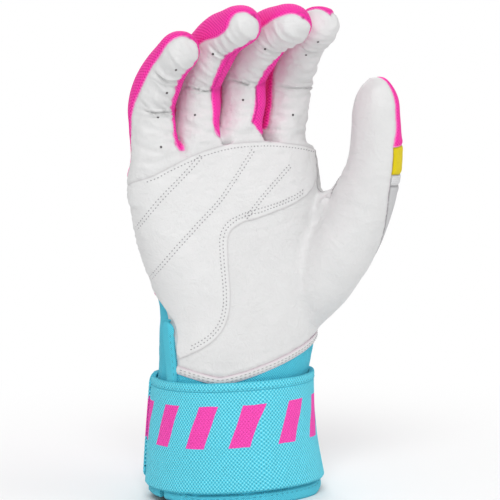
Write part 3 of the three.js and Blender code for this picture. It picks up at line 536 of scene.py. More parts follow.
def cut(bm, value):
    """Cuts a form along the line where a value of its points passes through zero."""
    bm.verts.ensure_lookup_table()
    bm.verts.index_update()
    pairs = np.array([(e.verts[0].index, e.verts[1].index) for e in bm.edges])
    a, b = value[pairs[:, 0]], value[pairs[:, 1]]
    with np.errstate(invalid="ignore", divide="ignore"):
        crossing = a * b < 0
        part = a / (a - b)
    low = crossing & (part < 0.12)
    high = crossing & (part > 0.88)
    value[pairs[low, 0]] = 0
    value[pairs[high, 1]] = 0
    a, b = value[pairs[:, 0]], value[pairs[:, 1]]
    crossing = a * b < 0
    part = np.where(crossing, a / np.where(crossing, a - b, 1), 0)
    on_line = {bm.verts[i] for i in np.flatnonzero(value == 0)}
    bm.edges.ensure_lookup_table()
    edges = [(bm.edges[i], float(part[i])) for i in np.flatnonzero(crossing)]
    on_line.update([bmesh.utils.edge_split(edge, edge.verts[0], share)[1] for edge, share in edges])
    bm.faces.index_update()
    faces = {f for v in on_line for f in v.link_faces}
    for face in sorted(faces, key=lambda f: f.index):  # in the same order at each run
        ends = [v for v in face.verts if v in on_line]
        if len(ends) == 2 and not any(ends[0] in e.verts and ends[1] in e.verts for e in face.edges):
            bmesh.utils.face_split(face, ends[0], ends[1])


# A seam only cuts where its value is a number, so each of them is kept to its part of the glove.
def on_finger(f, value):
    ok = (f["rise"] > -0.5) & (f["thumb"] < 0) & (f["share"] < 0.985) & (np.abs(value) < 1.2)
    return np.where(ok, value, np.nan)


def on_thumb(f, value):
    return np.where(f["thumb"] > -0.12, value, np.nan)


def body_of(f):
    """The angle round the body, without its jump, of the points that fields was asked for."""
    return body_angle(f["angle"], f["points"][:, 2])


seam_cuts = {
    "ulnar": lambda f: np.where((f["thumb"] < 0) & (f["rise"] < 1) & (np.cos(f["angle"]) < 0),
                                wrapped(f["angle"] - ulnar_seam(f["points"][:, 2])), np.nan),
    "hem": lambda f: np.where(f["points"][:, 2] < 110, f["points"][:, 2] - hem_height(body_of(f)), np.nan),
    "radial": lambda f: np.where((f["thumb"] < 0.15) & (f["rise"] < 1) & (np.cos(f["angle"]) > 0),
                                 f["angle"] - RADIAL_SEAM, np.nan),
    "thumb_root": lambda f: np.where((f["points"][:, 2] < THUMB_FREE) | ~beside_thumb(f["points"]),
                                     f["thumb"], np.nan),
    "thumb_side": lambda f: on_thumb(f, thumb_side(f)),
    "ulnar_leather": lambda f: on_finger(f, wrapped(f["turn"] - f["ulnar"])),
    "radial_leather": lambda f: on_finger(f, wrapped(f["turn"] - f["radial"])),
    "ulnar_back": lambda f: on_finger(f, wrapped(f["turn"] - f["back_ulnar"])),
    "radial_back": lambda f: on_finger(f, wrapped(f["turn"] - f["back_radial"])),
    "band": lambda f: on_thumb(f, f["height"] - BAND_LOW),
    "thumb_knuckle": lambda f: on_thumb(f, f["height"] - THUMB_KNUCKLE),
    "tab": lambda f: on_thumb(f, f["height"] - TAB_TOP),
    "knuckles": lambda f: np.where((np.abs(f["rise"]) < 6) & (f["thumb"] < 0), f["rise"], np.nan),
}
for k in range(len(BETWEEN)):
    seam_cuts[f"gap_{k}"] = lambda f, k=k: np.where(
        (f["rise"] > -0.3) & (f["rise"] < 14) & (f["thumb"] < 0), f["slab"] - f["middles"][k], np.nan)
for measure in seam_cuts.values():
    cut(skin, measure(fields(places(skin))))

skin.faces.ensure_lookup_table()
centres = np.array([f.calc_center_median() for f in skin.faces], float)
f = fields(centres)
body = body_angle(f["angle"], centres[:, 2])
PANELS = ["below", "palm", "back", "thumb_side", "thumb_band", "thumb_tab", "thumb_back", "thumb_leather"]
panel = np.where((body < RADIAL_SEAM), 1, 2)
panel = np.where(f["points"][:, 2] < hem_height(body), 0, panel)
dorsal = thumb_side(f) > 0
thumb_panel = np.where(f["height"] < BAND_LOW, 3, np.where(f["height"] < THUMB_KNUCKLE, 4,
                                                         np.where(f["height"] < TAB_TOP, 5, 6)))
thumb_panel = np.where(dorsal, thumb_panel, np.where(f["height"] < THUMB_KNUCKLE, 1, 7))
panel = np.where((f["thumb"] > 0) & (f["points"][:, 2] >= hem_height(body)), thumb_panel, panel)
for k, name in enumerate(NAMES):
    PANELS += [f"{name}_leather", f"{name}_back", f"{name}_fourchette_ulnar", f"{name}_fourchette_radial"]
turn = (f["turn"] - f["ulnar"]) % (2 * math.pi)
to_radial = f["radial"] - f["ulnar"]
to_back = f["back_radial"] - f["ulnar"]
to_end = 2 * math.pi + f["back_ulnar"] - f["ulnar"]
part = np.where(turn < to_radial, 0, np.where(turn < to_back, 3, np.where(turn < to_end, 1, 2)))
panel = np.where((f["rise"] > 0) & (f["thumb"] <= 0), 8 + 4 * f["finger"] + part, panel)
panel_of = skin.faces.layers.int.new("panel")
for face, number in zip(skin.faces, panel):
    face[panel_of] = int(number)

# Relief. The panels are sewn together, so the shell dips at every seam and puckers beside it.
# The leather has soft folds, and creases across the front where the fingers bend.
SEAM_DEPTH, SEAM_HALF, PUCKER = 0.4, 0.7, 0.28


def noise_at(points, size, seed):
    return np.array([noise.noise(Vector(p) / size + Vector((seed, seed, seed))) for p in points])


vf = fields(places(skin))
for vert, point in zip(skin.verts, vf["points"]):
    vert.co = point
skin.normal_update()
# Panels that are one cut of leather share a group, so that no seam is pressed between them.
sewn_group = np.array([99, 0, 1, 2, 3, 4, 5, 0] + [v for k in range(4) for v in (0, 10 + k, 10 + k, 10 + k)])
seam_spots = []
for edge in skin.edges:
    groups = {int(sewn_group[face[panel_of]]) for face in edge.link_faces}
    if len(groups) > 1:
        seam_spots += [edge.verts[0].co.copy(), (edge.verts[0].co + edge.verts[1].co) / 2]
seam_tree = KDTree(len(seam_spots))
for k, spot in enumerate(seam_spots):
    seam_tree.insert(spot, k)
seam_tree.balance()
from_seam = np.array([seam_tree.find(v.co)[2] for v in skin.verts])
leather = np.array([max(int(sewn_group[face[panel_of]] == 0) for face in v.link_faces) for v in skin.verts])
at = vf["points"]
folds = 0.4 * noise_at(at, 17, 3) + 0.2 * noise_at(at, 6, 11)
relief = folds * np.where(leather, 1, 0.5)
puckers = noise_at(at * np.array((1, 1, 1.5)), 2.4, 23) * np.exp(-(from_seam / 3.4) ** 2)
relief += np.where(leather, PUCKER, 0.08) * puckers
relief -= SEAM_DEPTH * np.exp(-(from_seam / SEAM_HALF) ** 2)
relief += 0.2 * np.exp(-((from_seam - 2) / 1.1) ** 2)
front = np.clip(-np.sin(vf["turn"]) * 1.4, 0, 1) * ease(vf["rise"], 0, 6) * (vf["thumb"] < 0) * leather
wander = 1.6 * noise_at(at, 7, 31)
for k, name in enumerate(NAMES):
    lengths = FINGERS[name][3]
    for joint, depth in ((lengths[0], 1.35), (lengths[0] + lengths[1], 1.1)):
        off = vf["length"] - joint + wander
        mine = front * (vf["finger"] == k)
        relief -= mine * depth * np.exp(-(off / 1.1) ** 2)
        relief -= mine * 0.35 * depth * np.exp(-((off - 4.2) / 0.9) ** 2)
        relief -= mine * 0.3 * depth * np.exp(-((off + 3.8) / 0.9) ** 2)
        relief += mine * 0.45 * depth * np.exp(-((np.abs(off) - 2.4) / 1.3) ** 2)
up_finger = np.where(vf["rise"] > 0, vf["length"] + knuckle_height(at[:, 0]), at[:, 2])
across_grain = np.stack([at[:, 0] / 3.2, at[:, 1] / 3.2, up_finger], 1)
relief += 0.95 * noise_at(across_grain, 2.3, 47) * leather * np.clip(0.25 + front, 0, 1) * (at[:, 2] > 120)
web_band = ease(at[:, 2], 118, 130) * (1 - ease(at[:, 2], 146, 156)) * (at[:, 0] > 25)
web_near = np.exp(-(vf["thumb"] / 0.3) ** 2) * web_band
relief += 0.6 * np.sin(26 * vf["thumb_angle"] + 2 * noise_at(at, 6, 5)) * web_near * leather
slab = at[:, 0] + at[:, 1] * math.tan(TILT)
beside = np.min([np.abs(slab - b) for b in BETWEEN], 0)
relief = np.where((vf["rise"] > 0) & (vf["thumb"] < 0) & (beside < 1), np.minimum(relief, 0), relief)

# Where each spot lies on its cloth, in millimetres: round the finger, thumb or hand, and along it.
along = np.where(vf["thumb"] > 0, vf["height"], np.where(vf["rise"] > 0, vf["length"], at[:, 2]))
round_radius = np.where(vf["thumb"] > 0, 13, np.where(vf["rise"] > 0, 10.2, 40))
round_angle = np.where(vf["thumb"] > 0, vf["thumb_angle"],
                       np.where(vf["rise"] > 0, (vf["turn"] + math.pi / 2) % (2 * math.pi),
                                (vf["angle"] + math.pi / 2) % (2 * math.pi)))
cloth_of = skin.verts.layers.float_vector.new("cloth")
seam_of = skin.verts.layers.float.new("seam")
for k, vert in enumerate(skin.verts):
    vert.co += vert.normal * float(relief[k])
    vert[cloth_of] = (float(round_angle[k] * round_radius[k]), float(along[k]), 0)
    vert[seam_of] = float(from_seam[k])
skin.normal_update()
flow_of = skin.verts.layers.float_vector.new("flow")
for vert in skin.verts:
    vert[flow_of] = vert.normal
skin_tree = BVHTree.FromBMesh(skin)


# White leather. Washed goatskin, drummed soft: a fine pebble grain, slightly greyer in its
# folds, with a dull shine, and a pinkish grey painted down each seam as shade.
def linear(code):
    """An sRGB hex colour as the linear values that a shader takes."""
    parts = [int(code[i:i + 2], 16) / 255 for i in (1, 3, 5)]
    return tuple(c / 12.92 if c <= 0.04045 else ((c + 0.055) / 1.055) ** 2.4 for c in parts) + (1,)


def add_node(material, kind, settings=None, links=None):
    """Adds a node with its settings and with links into its inputs."""
    node = material.node_tree.nodes.new(kind)
    for key, value in (settings or {}).items():
        if isinstance(key, str) and hasattr(node, key):
            setattr(node, key, value)
        else:
            node.inputs[key].default_value = value
    for key, source in (links or {}).items():
        material.node_tree.links.new(source, node.inputs[key])
    return node


def new_material(name, settings):
    """A material with its shader, and where the object's own coordinates come from."""
    material = bpy.data.materials.new(name)
    material.use_nodes = True
    material.node_tree.nodes.clear()
    shader = add_node(material, "ShaderNodeBsdfPrincipled", settings)
    add_node(material, "ShaderNodeOutputMaterial", links={"Surface": shader.outputs["BSDF"]})
    place = add_node(material, "ShaderNodeTexCoord").outputs["Object"]
    return material, shader, place


def flecked_material(name, dark, light, scale, rough, detail=2):
    """A plain material whose colour wanders between two tones, with its shader and its flecks."""
    material, shader, place = new_material(name, {"Roughness": rough, "IOR": 1.5})
    flecks = add_node(material, "ShaderNodeTexNoise", {"Scale": scale, "Detail": detail}, {"Vector": place})
    tone = add_node(material, "ShaderNodeMix", {"data_type": "RGBA", 6: linear(dark), 7: linear(light)},
                    {"Factor": flecks.outputs["Fac"]})
    material.node_tree.links.new(tone.outputs[2], shader.inputs["Base Color"])
    return material, shader, flecks.outputs["Fac"]


def leather_material(name, light, dark, seam_shade_and_pale_edge, grain_mm, relief_mm, rough):
    """Leather with blotches, a pebble grain, soft wrinkles, and a darker tone painted down in its seams as shade."""
    material, shader, place = new_material(name, {"IOR": 1.5})
    link = material.node_tree.links.new
    blotch = add_node(material, "ShaderNodeTexNoise", {"Scale": 60, "Detail": 3}, {"Vector": place})
    tone = add_node(material, "ShaderNodeMix", {"data_type": "RGBA", 6: linear(light), 7: linear(dark)},
                    {"Factor": blotch.outputs["Fac"]})
    # Painted shade: the seam tone, darker than the leather, is painted within 0.1 mm of a seam and fades out by 0.9
    # mm.
    seam = add_node(material, "ShaderNodeAttribute", {"attribute_name": "seam"})
    dip = add_node(material, "ShaderNodeMapRange", {"From Min": 0.1, "From Max": 0.9}, {"Value": seam.outputs["Fac"]})
    shade = add_node(material, "ShaderNodeMix", {"data_type": "RGBA", 6: linear(seam_shade_and_pale_edge)},
                     {"Factor": dip.outputs["Result"], 7: tone.outputs[2]})
    link(shade.outputs[2], shader.inputs["Base Color"])
    grain = add_node(material, "ShaderNodeTexVoronoi", {"Scale": 1000 / grain_mm}, {"Vector": place})
    fine = add_node(material, "ShaderNodeTexNoise", {"Scale": 2500 / grain_mm, "Detail": 2}, {"Vector": place})
    height = add_node(material, "ShaderNodeMath", {"operation": "ADD"},
                      {0: grain.outputs["Distance"], 1: fine.outputs["Fac"]})
    wrinkles = add_node(material, "ShaderNodeTexNoise", {"Scale": 170, "Detail": 4, "Roughness": 0.55,
                                                         "Distortion": 1.4}, {"Vector": place})
    soft = add_node(material, "ShaderNodeBump", {"Strength": 0.5, "Distance": 0.0011},
                    {"Height": wrinkles.outputs["Fac"]})
    bump = add_node(material, "ShaderNodeBump", {"Strength": 0.6, "Distance": relief_mm / 1000},
                    {"Height": height.outputs[0], "Normal": soft.outputs["Normal"]})
    link(bump.outputs["Normal"], shader.inputs["Normal"])
    dull = add_node(material, "ShaderNodeMapRange", {"To Min": rough - 0.08, "To Max": rough + 0.1},
                    {"Value": fine.outputs["Fac"]})
    link(dull.outputs["Result"], shader.inputs["Roughness"])
    return material


white_leather = leather_material("goatskin_white", "#dedede", "#d3d3d3", "#d6cbd1", 1.0, 0.09, 0.5)

# Mesh cloth. Warp-knitted polyester in bright pink: rows of small open stitches, drawn 1.5 mm
# apart so that they show, with painted shade in their holes, a painted highlight on the knots
# between, a soft sheen along the threads, and a pale pink painted at its seams.


def knit_material(name, base, high, hole_shade, row_mm, column_mm, rough, seam_shade_and_pale_edge, relief_mm=0.2, bars=None):
    """Knitted or woven cloth with holes between its rows and columns, painted shade in them and a painted highlight
    on the knots, and slanted printed bars.
    """
    material, shader, _ = new_material(name, {"IOR": 1.46, "Roughness": rough, "Sheen Weight": 0.05,
                                              "Sheen Roughness": 0.5, "Specular IOR Level": 0.25})
    link = material.node_tree.links.new
    cloth = add_node(material, "ShaderNodeAttribute", {"attribute_name": "cloth"}).outputs["Vector"]
    yarn = {"Distortion": 0.5, "Detail": 1, "Detail Scale": 1.5}
    rows = add_node(material, "ShaderNodeTexWave", {"bands_direction": "Y", "Scale": 0.314 / row_mm, **yarn},
                    {"Vector": cloth})
    columns = add_node(material, "ShaderNodeTexWave", {"bands_direction": "X", "Scale": 0.314 / column_mm, **yarn},
                       {"Vector": cloth})
    row_part = add_node(material, "ShaderNodeMapRange", {"To Min": -1, "To Max": 1}, {"Value": rows.outputs["Fac"]})
    column_part = add_node(material, "ShaderNodeMapRange", {"To Min": -1, "To Max": 1},
                           {"Value": columns.outputs["Fac"]})
    weave = add_node(material, "ShaderNodeMath", {"operation": "MULTIPLY"},
                     {0: row_part.outputs["Result"], 1: column_part.outputs["Result"]})
    # Painted shade: the holes take the darker hole colour. Painted highlight: the knots between them take the lighter
    # colour.
    open_part = add_node(material, "ShaderNodeMapRange", {"From Min": 0.25, "From Max": 0.75},
                         {"Value": weave.outputs[0]})
    knot_highlight_mask = add_node(material, "ShaderNodeMapRange", {"From Min": -0.15, "From Max": -0.8},
                     {"Value": weave.outputs[0]})
    yarn_and_highlight_tone = add_node(material, "ShaderNodeMix", {"data_type": "RGBA", 6: linear(base), 7: linear(high)},
                         {"Factor": knot_highlight_mask.outputs["Result"]})
    hole_shaded = add_node(material, "ShaderNodeMix", {"data_type": "RGBA", 7: linear(hole_shade)},
                     {"Factor": open_part.outputs["Result"], 6: yarn_and_highlight_tone.outputs[2]})
    colour = hole_shaded.outputs[2]
    if bars:
        spot = add_node(material, "ShaderNodeSeparateXYZ", links={"Vector": cloth}).outputs
        slanted = add_node(material, "ShaderNodeMath", {"operation": "MULTIPLY_ADD", 1: bars["slant"]},
                           {0: spot["Y"], 2: spot["X"]})
        share = add_node(material, "ShaderNodeMath", {"operation": "DIVIDE", 1: bars["pitch"]},
                         {0: slanted.outputs[0]})
        part = add_node(material, "ShaderNodeMath", {"operation": "FRACT"}, {0: share.outputs[0]})
        bar = add_node(material, "ShaderNodeMath", {"operation": "LESS_THAN", 1: bars["share"]},
                       {0: part.outputs[0]})
        above = add_node(material, "ShaderNodeMath", {"operation": "GREATER_THAN", 1: bars["low"]}, {0: spot["Y"]})
        below = add_node(material, "ShaderNodeMath", {"operation": "LESS_THAN", 1: bars["high"]}, {0: spot["Y"]})
        band = add_node(material, "ShaderNodeMath", {"operation": "MULTIPLY"},
                        {0: above.outputs[0], 1: below.outputs[0]})
        printed = add_node(material, "ShaderNodeMath", {"operation": "MULTIPLY"},
                           {0: bar.outputs[0], 1: band.outputs[0]})
        ink = add_node(material, "ShaderNodeMix",
                       {"data_type": "RGBA", 6: linear(bars["ink"]), 7: linear(bars["ink_shaded_in_holes"])},
                       {"Factor": open_part.outputs["Result"]})
        colour = add_node(material, "ShaderNodeMix", {"data_type": "RGBA"},
                          {"Factor": printed.outputs[0], 6: colour, 7: ink.outputs[2]}).outputs[2]
    # Painted seam tone: within 0.8 mm of a seam the colour turns to it; darker as painted shade in most cloths, a
    # pale pink on the pink mesh.
    seam = add_node(material, "ShaderNodeAttribute", {"attribute_name": "seam"})
    dip = add_node(material, "ShaderNodeMapRange", {"From Min": 0.0, "From Max": 0.8}, {"Value": seam.outputs["Fac"]})
    shade = add_node(material, "ShaderNodeMix", {"data_type": "RGBA", 6: linear(seam_shade_and_pale_edge)},
                     {"Factor": dip.outputs["Result"], 7: colour})
    link(shade.outputs[2], shader.inputs["Base Color"])
    bump = add_node(material, "ShaderNodeBump", {"Strength": 0.8, "Distance": relief_mm / 1000, "invert": True},
                    {"Height": weave.outputs[0]})
    link(bump.outputs["Normal"], shader.inputs["Normal"])
    return material


pink_mesh = knit_material("warp_knit_pink", "#fb30a7", "#ff48b6", "#d81a88", 1.5, 1.9, 0.75, "#f39bcf")

# Cloths of the thumb. Coated synthetic leather in cool grey, embossed with a coarse grain and
# duller than goatskin; a close-woven yellow tape; and ribbed elastic, whose ribs are painted
# lighter as highlight and darker between as shade. The tape too has painted shade in its holes and a
# painted highlight on its knots, and each is painted darker in its seams as shade.
grey_synthetic = leather_material("perforated_synthetic_grey", "#c9c9ca", "#bdbdbf", "#8f8d8f", 1.6, 0.12, 0.6)
yellow_webbing = knit_material("woven_tape_yellow", "#efd800", "#f7e420", "#cfb400", 0.9, 0.9, 0.65, "#a89200")
ribbed_band = knit_material("ribbed_elastic_white", "#e2e2e3", "#eeeeef", "#bcbcbe", 1.5, 0.8, 0.6, "#98989a")


def piece(name, bm, material, body, nodes=(), wall=0.0, bend=None):
    """Makes a form into an object in metres, gives it its wall, and fixes it to its body."""
    bmesh.ops.translate(bm, verts=bm.verts, vec=-MIDDLE)
    bmesh.ops.scale(bm, verts=bm.verts, vec=(0.001, 0.001, 0.001))
    flow = bm.verts.layers.float_vector.get("flow")
    normals = np.array([v[flow] for v in bm.verts]) if flow else None
    mesh = bpy.data.meshes.new(name)
    bm.to_mesh(mesh)
    bm.free()
    sheet_faces, sheet_verts = len(mesh.polygons), len(mesh.vertices)
    obj = bpy.data.objects.new(name, mesh)
    scene.collection.objects.link(obj)
    if wall:
        solid = obj.modifiers.new("wall", "SOLIDIFY")
        solid.thickness = wall / 1000
        solid.offset = -1
        solid.use_even_offset = False
        bpy.context.view_layer.update()
        made = bpy.data.meshes.new_from_object(obj.evaluated_get(bpy.context.evaluated_depsgraph_get()))
        obj.modifiers.clear()
        obj.data = made
    obj.data.name = name
    obj.data.materials.clear()
    obj.data.materials.append(material)
    obj.data.polygons.foreach_set("use_smooth", [True] * len(obj.data.polygons))
    obj.data.set_sharp_from_angle(angle=math.radians(50))
    if normals is not None:
        corners = np.zeros((len(obj.data.loops), 3))
        verts = np.zeros(len(obj.data.loops), int)
        obj.data.loops.foreach_get("vertex_index", verts)
        shown = sum(obj.data.polygons[k].loop_total for k in range(sheet_faces))
        if verts[:shown].max() < sheet_verts:
            corners[:shown] = normals[verts[:shown]]
            obj.data.normals_split_custom_set(corners)
    if bend:
        start, end = (tuple((Vector(p) - MIDDLE) / 1000) for p in bend)
        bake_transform(obj, "hand", body, start=start, end=end)
    else:
        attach(obj, body)
    if nodes:
        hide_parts(*nodes)
    return obj


def panel_form(*names):
    """A copy of the shell with only the named panels left."""
    wanted = {PANELS.index(n) for n in names}
    bm = skin.copy()
    layer = bm.faces.layers.int["panel"]
    bmesh.ops.delete(bm, geom=[face for face in bm.faces if face[layer] not in wanted], context="FACES")
    return bm


# Panels of the body. The palm is one piece of leather that runs on into the thumb; the back is
# mesh, and a grey side panel and a ribbed band cover the back of the thumb's root.
piece("palm_leather_panel", panel_form("palm"), white_leather, "hand", ["palm_leather"], wall=1.0)
piece("back_mesh_panel", panel_form("back"), pink_mesh, "hand", ["back_panel"], wall=0.9)
piece("thumb_side_leather", panel_form("thumb_side"), grey_synthetic, "hand", ["thumb_side_panel"],
      wall=1.0)
piece("thumb_ribbed_band", panel_form("thumb_band"), ribbed_band, "hand", ["thumb_flex_band"],
      wall=1.0)

# Upper thumb. The same leather in front, with a woven yellow tab and pink mesh behind. It folds
# with the thumb over the ribbed band.
thumb_fold = ((48.1, -27, 151), (48.1, -28, 163))
piece("thumb_leather_front", panel_form("thumb_leather"), white_leather, "thumb", ["thumb_tip_leather"],
      wall=1.0, bend=thumb_fold)
piece("thumb_yellow_tab", panel_form("thumb_tab"), yellow_webbing, "thumb", ["thumb_tip_panel"],
      wall=1.0, bend=thumb_fold)
piece("thumb_mesh_back", panel_form("thumb_back"), pink_mesh, "thumb", ["thumb_tip_back"], wall=0.9,
      bend=thumb_fold)

# Fingers. The leather of the palm runs up the front of each; behind it are a mesh back and the
# strips of mesh between the fingers, which are sewn on inside out, so no edge shows.
FOLD_LENGTH = 13


def knuckle_fold(name):
    """From where to where a finger's cloth folds over its knuckle."""
    place = FINGERS[name][0]
    low = float(knuckle_height(place))
    return (place, 0, low), (place, 0, low + FOLD_LENGTH)


for name in NAMES:
    fold = knuckle_fold(name)
    piece(f"{name}_leather_front", panel_form(f"{name}_leather"), white_leather, name, [f"{name}_leather"],
          wall=1.0, bend=fold)
    piece(f"{name}_mesh_back", panel_form(f"{name}_back"), pink_mesh, name, [f"{name}_back"], wall=0.9,
          bend=fold)
    for side in ("ulnar", "radial"):
        if f"{name}_fourchette_{side}" in frame["nodes"]:
            nodes = [f"{name}_fourchette_{side}"]
            if side == "radial":
                nodes.append(f"{name}_fourchette_fold")
            piece(f"{name}_mesh_{side}", panel_form(nodes[0]), pink_mesh, name, nodes, wall=0.7,
                  bend=fold)


# Palm patch. A second piece of leather is sewn over the heel and the base of the fingers, where
# the handle rubs. Double rows of stitches run round it and across it in sunk channels.
PATCH_OUTER = [(-0.88, 0.07), (-0.89, 0.2), (-0.97, 0.32), (-1.04, 0.5), (-1.06, 0.72), (-1.02, 0.97),
               (-0.8, 0.99), (-0.6, 0.995), (-0.45, 0.99), (-0.3, 0.985), (-0.15, 0.975)]
PATCH_INNER = [(-0.86, 0.045), (-0.74, 0.125), (-0.665, 0.205), (-0.61, 0.33), (-0.57, 0.5), (-0.548, 0.6),
               (-0.52, 0.635), (-0.46, 0.662), (-0.38, 0.69), (-0.3, 0.73), (-0.22, 0.795), (-0.15, 0.9)]
PATCH_THICK, STITCH_INSET = 0.85, 2.1
TURN_MM, SHARE_MM = 125, 100  # how wide half a turn is on the cutting table, and how tall the palm
CHANNELS = [  # where the photograph shows the sewn channels, in its pixels
    [(137, 229), (160, 200), (182, 177), (202, 155)],
    [(149, 281), (175, 250), (200, 222), (222, 197), (254, 148)],
    [(244, 219), (252, 210), (262, 197), (276, 181), (291, 164)],
]


def body_share(angle, height):
    """How far up the palm a height is, from the hem to the knuckles."""
    top = knuckle_height(hand_point(angle, 160)[..., 0])
    hem = hem_height(angle)
    return (height - hem) / (top - hem)


def smooth_rows(rows, per=10):
    """A smooth line through a few spots, with more spots on it."""
    at = np.linspace(0, len(rows) - 1, per * (len(rows) - 1) + 1)
    return spline([(k, *row) for k, row in enumerate(rows)], at)


def flat_outline(outer, inner):
    """A closed outline on the cutting table, along one side of a piece and back along the other."""
    return np.concatenate([smooth_rows(outer), smooth_rows(inner)[::-1]]) * (TURN_MM, SHARE_MM)


def inside_outline(points, outline):
    """How far inside a closed outline points are, and below zero outside it."""
    a, b = outline, np.roll(outline, -1, 0)
    p = points[:, None, :]
    edge = b - a
    t = np.clip(((p - a) * edge).sum(2) / (edge**2).sum(1), 0, 1)
    near = np.linalg.norm(p - (a + t[..., None] * edge), axis=2).min(1)
    over = (a[:, 1] > p[..., 1]) != (b[:, 1] > p[..., 1])
    with np.errstate(divide="ignore", invalid="ignore"):
        cross = p[..., 0] < (b[:, 0] - a[:, 0]) * (p[..., 1] - a[:, 1]) / (b[:, 1] - a[:, 1]) + a[:, 0]
    return np.where((over & cross).sum(1) % 2 == 1, near, -near)


def flat_place(points):
    """Where points of the palm lie on the cutting table, in millimetres."""
    angle, _ = hand_place(points)
    angle = np.where(angle > RADIAL_SEAM * 2, angle - 2 * math.pi, angle)
    return np.stack([angle / math.pi * TURN_MM, body_share(angle, points[:, 2]) * SHARE_MM], 1)


def on_palm(turn, share):
    """The spot of the palm at a turn and a share of the height, and its outward direction."""
    angle = turn * math.pi
    hem = float(hem_height(angle))
    height = hem + share * (float(knuckle_height(hand_point(angle, 160)[0])) - hem)
    surface, outer = Vector(hand_point(angle, height)), Vector(hand_point(angle, height, 15.0))
    spot, normal, _, _ = skin_tree.ray_cast(outer, (surface - outer).normalized())
    return (spot, normal) if spot is not None else None


patch_outline = flat_outline(PATCH_OUTER, PATCH_INNER)
channel_spots = []
for row in CHANNELS:
    path = smooth_rows(row, 12)
    channel_spots.append([hit for x, y in path if (hit := seen(skin_tree, x, y))])
channel_tree = KDTree(sum(len(row) for row in channel_spots))
for k, (spot, _) in enumerate(hit for row in channel_spots for hit in row):
    channel_tree.insert(spot, k)
channel_tree.balance()


def within(points, outline):
    """How far inside an outline points of the palm are; the thumb's own skin is outside it."""
    _, far = hand_place(points)
    return np.minimum(inside_outline(flat_place(points), outline), (1.4 - far) * 12)


def overlay_form(outline, thick, grooves=None):
    """A copy of the palm's skin inside an outline, raised by its thickness, with soft edges."""
    bm = panel_form("palm")
    cut(bm, within(places(bm), outline))
    bm.faces.ensure_lookup_table()
    middles = np.array([face.calc_center_median() for face in bm.faces], float)
    outside = within(middles, outline) < 0
    bmesh.ops.delete(bm, geom=[bm.faces[i] for i in np.flatnonzero(outside)], context="FACES")
    bm.normal_update()
    edge = np.clip(within(places(bm), outline), 0, None)
    seam = bm.verts.layers.float["seam"]
    normals = [v.normal.copy() for v in bm.verts]
    for k, vert in enumerate(bm.verts):
        raised = thick * (0.45 + 0.55 * float(ease(edge[k], 0, 1.0)))
        raised -= 0.25 * math.exp(-((edge[k] - STITCH_INSET) / 1.0) ** 2)
        if grooves:
            far = grooves.find(vert.co)[2]
            raised -= 0.38 * math.exp(-(far / 1.5) ** 2) - 0.12 * math.exp(-((far - 3.4) / 1.5) ** 2)
        vert.co += normals[k] * raised
        vert[seam] = min(float(edge[k]), 8)
    return bm


# The patch is the same goatskin, smoother and stretched flat, painted a shade brighter as light, with a darker tone
# painted along its edge as shade.
patch_leather_painted_bright = leather_material("patch_leather_white", "#e2e2e2", "#d8d8d8", "#c9c7c8", 0.8, 0.11, 0.55)
patch_bm = overlay_form(patch_outline, PATCH_THICK, channel_tree)
patch_tree = BVHTree.FromBMesh(patch_bm)
piece("palm_patch_leather", patch_bm, patch_leather_painted_bright, "hand", ["palm_patch"], wall=0.8)


# Web gusset. A small piece of suede reinforces the web of the thumb beside the patch. Its nap
# takes the shine away; its colour is painted darker than the leather round it, as the shade in the
# web, and darker still along its edge as shade.
GUSSET_OUTER = [(-0.13, 0.965), (-0.06, 0.97), (0.02, 0.93), (0.08, 0.83)]
GUSSET_INNER = [(-0.14, 0.86), (-0.19, 0.775), (-0.15, 0.72), (-0.05, 0.72)]
gusset_outline = flat_outline(GUSSET_OUTER, GUSSET_INNER)
gusset_suede_painted_darker = leather_material("gusset_suede_painted_grey", "#d9d9d9", "#cbcbcb", "#aaa8a9", 1.3, 0.14, 0.7)
piece("thumb_web_leather", overlay_form(gusset_outline, 0.45), gusset_suede_painted_darker, "hand", ["thumb_web_gusset"],
      wall=0.6)


# Stitches. Every seam of the patch and the hem is sewn through with polyester thread, in short
# stitches that lie in the dents that they pull. The white thread is painted grey, greyer than the leather, as the
# shade in its dents.
def stitch_form(rows, length, gap, radius):
    """A form of small stitches along rows of spots and directions."""
    bm = bmesh.new()
    for row in rows:
        spots = [Vector(s) for s, _ in row]
        reach = [0.0]
        for a, b in zip(spots, spots[1:]):
            reach.append(reach[-1] + (b - a).length)
        at = gap
        while at + length < reach[-1]:
            mid = at + length / 2
            k = min(max(int(np.searchsorted(reach, mid)), 1), len(row) - 1)
            share = (mid - reach[k - 1]) / max(reach[k] - reach[k - 1], 1e-6)
            spot = spots[k - 1].lerp(spots[k], share)
            along = (spots[k] - spots[k - 1]).normalized()
            normal = (row[k][1] - along * row[k][1].dot(along)).normalized()
            turned = np.array((along, normal.cross(along), normal)).T
            made = bmesh.ops.create_uvsphere(bm, u_segments=6, v_segments=4, radius=1)["verts"]
            shape = np.array([v.co for v in made]) * (radius, radius, length / 2)
            shape = shape[:, (2, 0, 1)] * (1, 1, 0.6) @ turned.T
            for vert, point in zip(made, shape):
                vert.co = spot + Vector(point)
            at += length + gap
    return bm


# Painted shade: white thread coloured grey.
thread, _, _ = flecked_material("polyester_thread_white_painted_grey", "#8f8d90", "#a9a7aa", 2500, 0.6)


def beside(row, aside):
    """A row of spots moved sideways on their surface."""
    out = []
    for k, (spot, normal) in enumerate(row):
        ahead = row[min(k + 1, len(row) - 1)][0] - row[max(k - 1, 0)][0]
        side = normal.cross(ahead).normalized()
        out.append((spot + side * aside, normal))
    return out


def laid(row, tree, above):
    """A row of spots set down on a surface."""
    out = []
    for spot, normal in row:
        near, direction, _, _ = tree.find_nearest(spot)
        if near is not None:
            out.append((near + direction * above, direction))
    return out


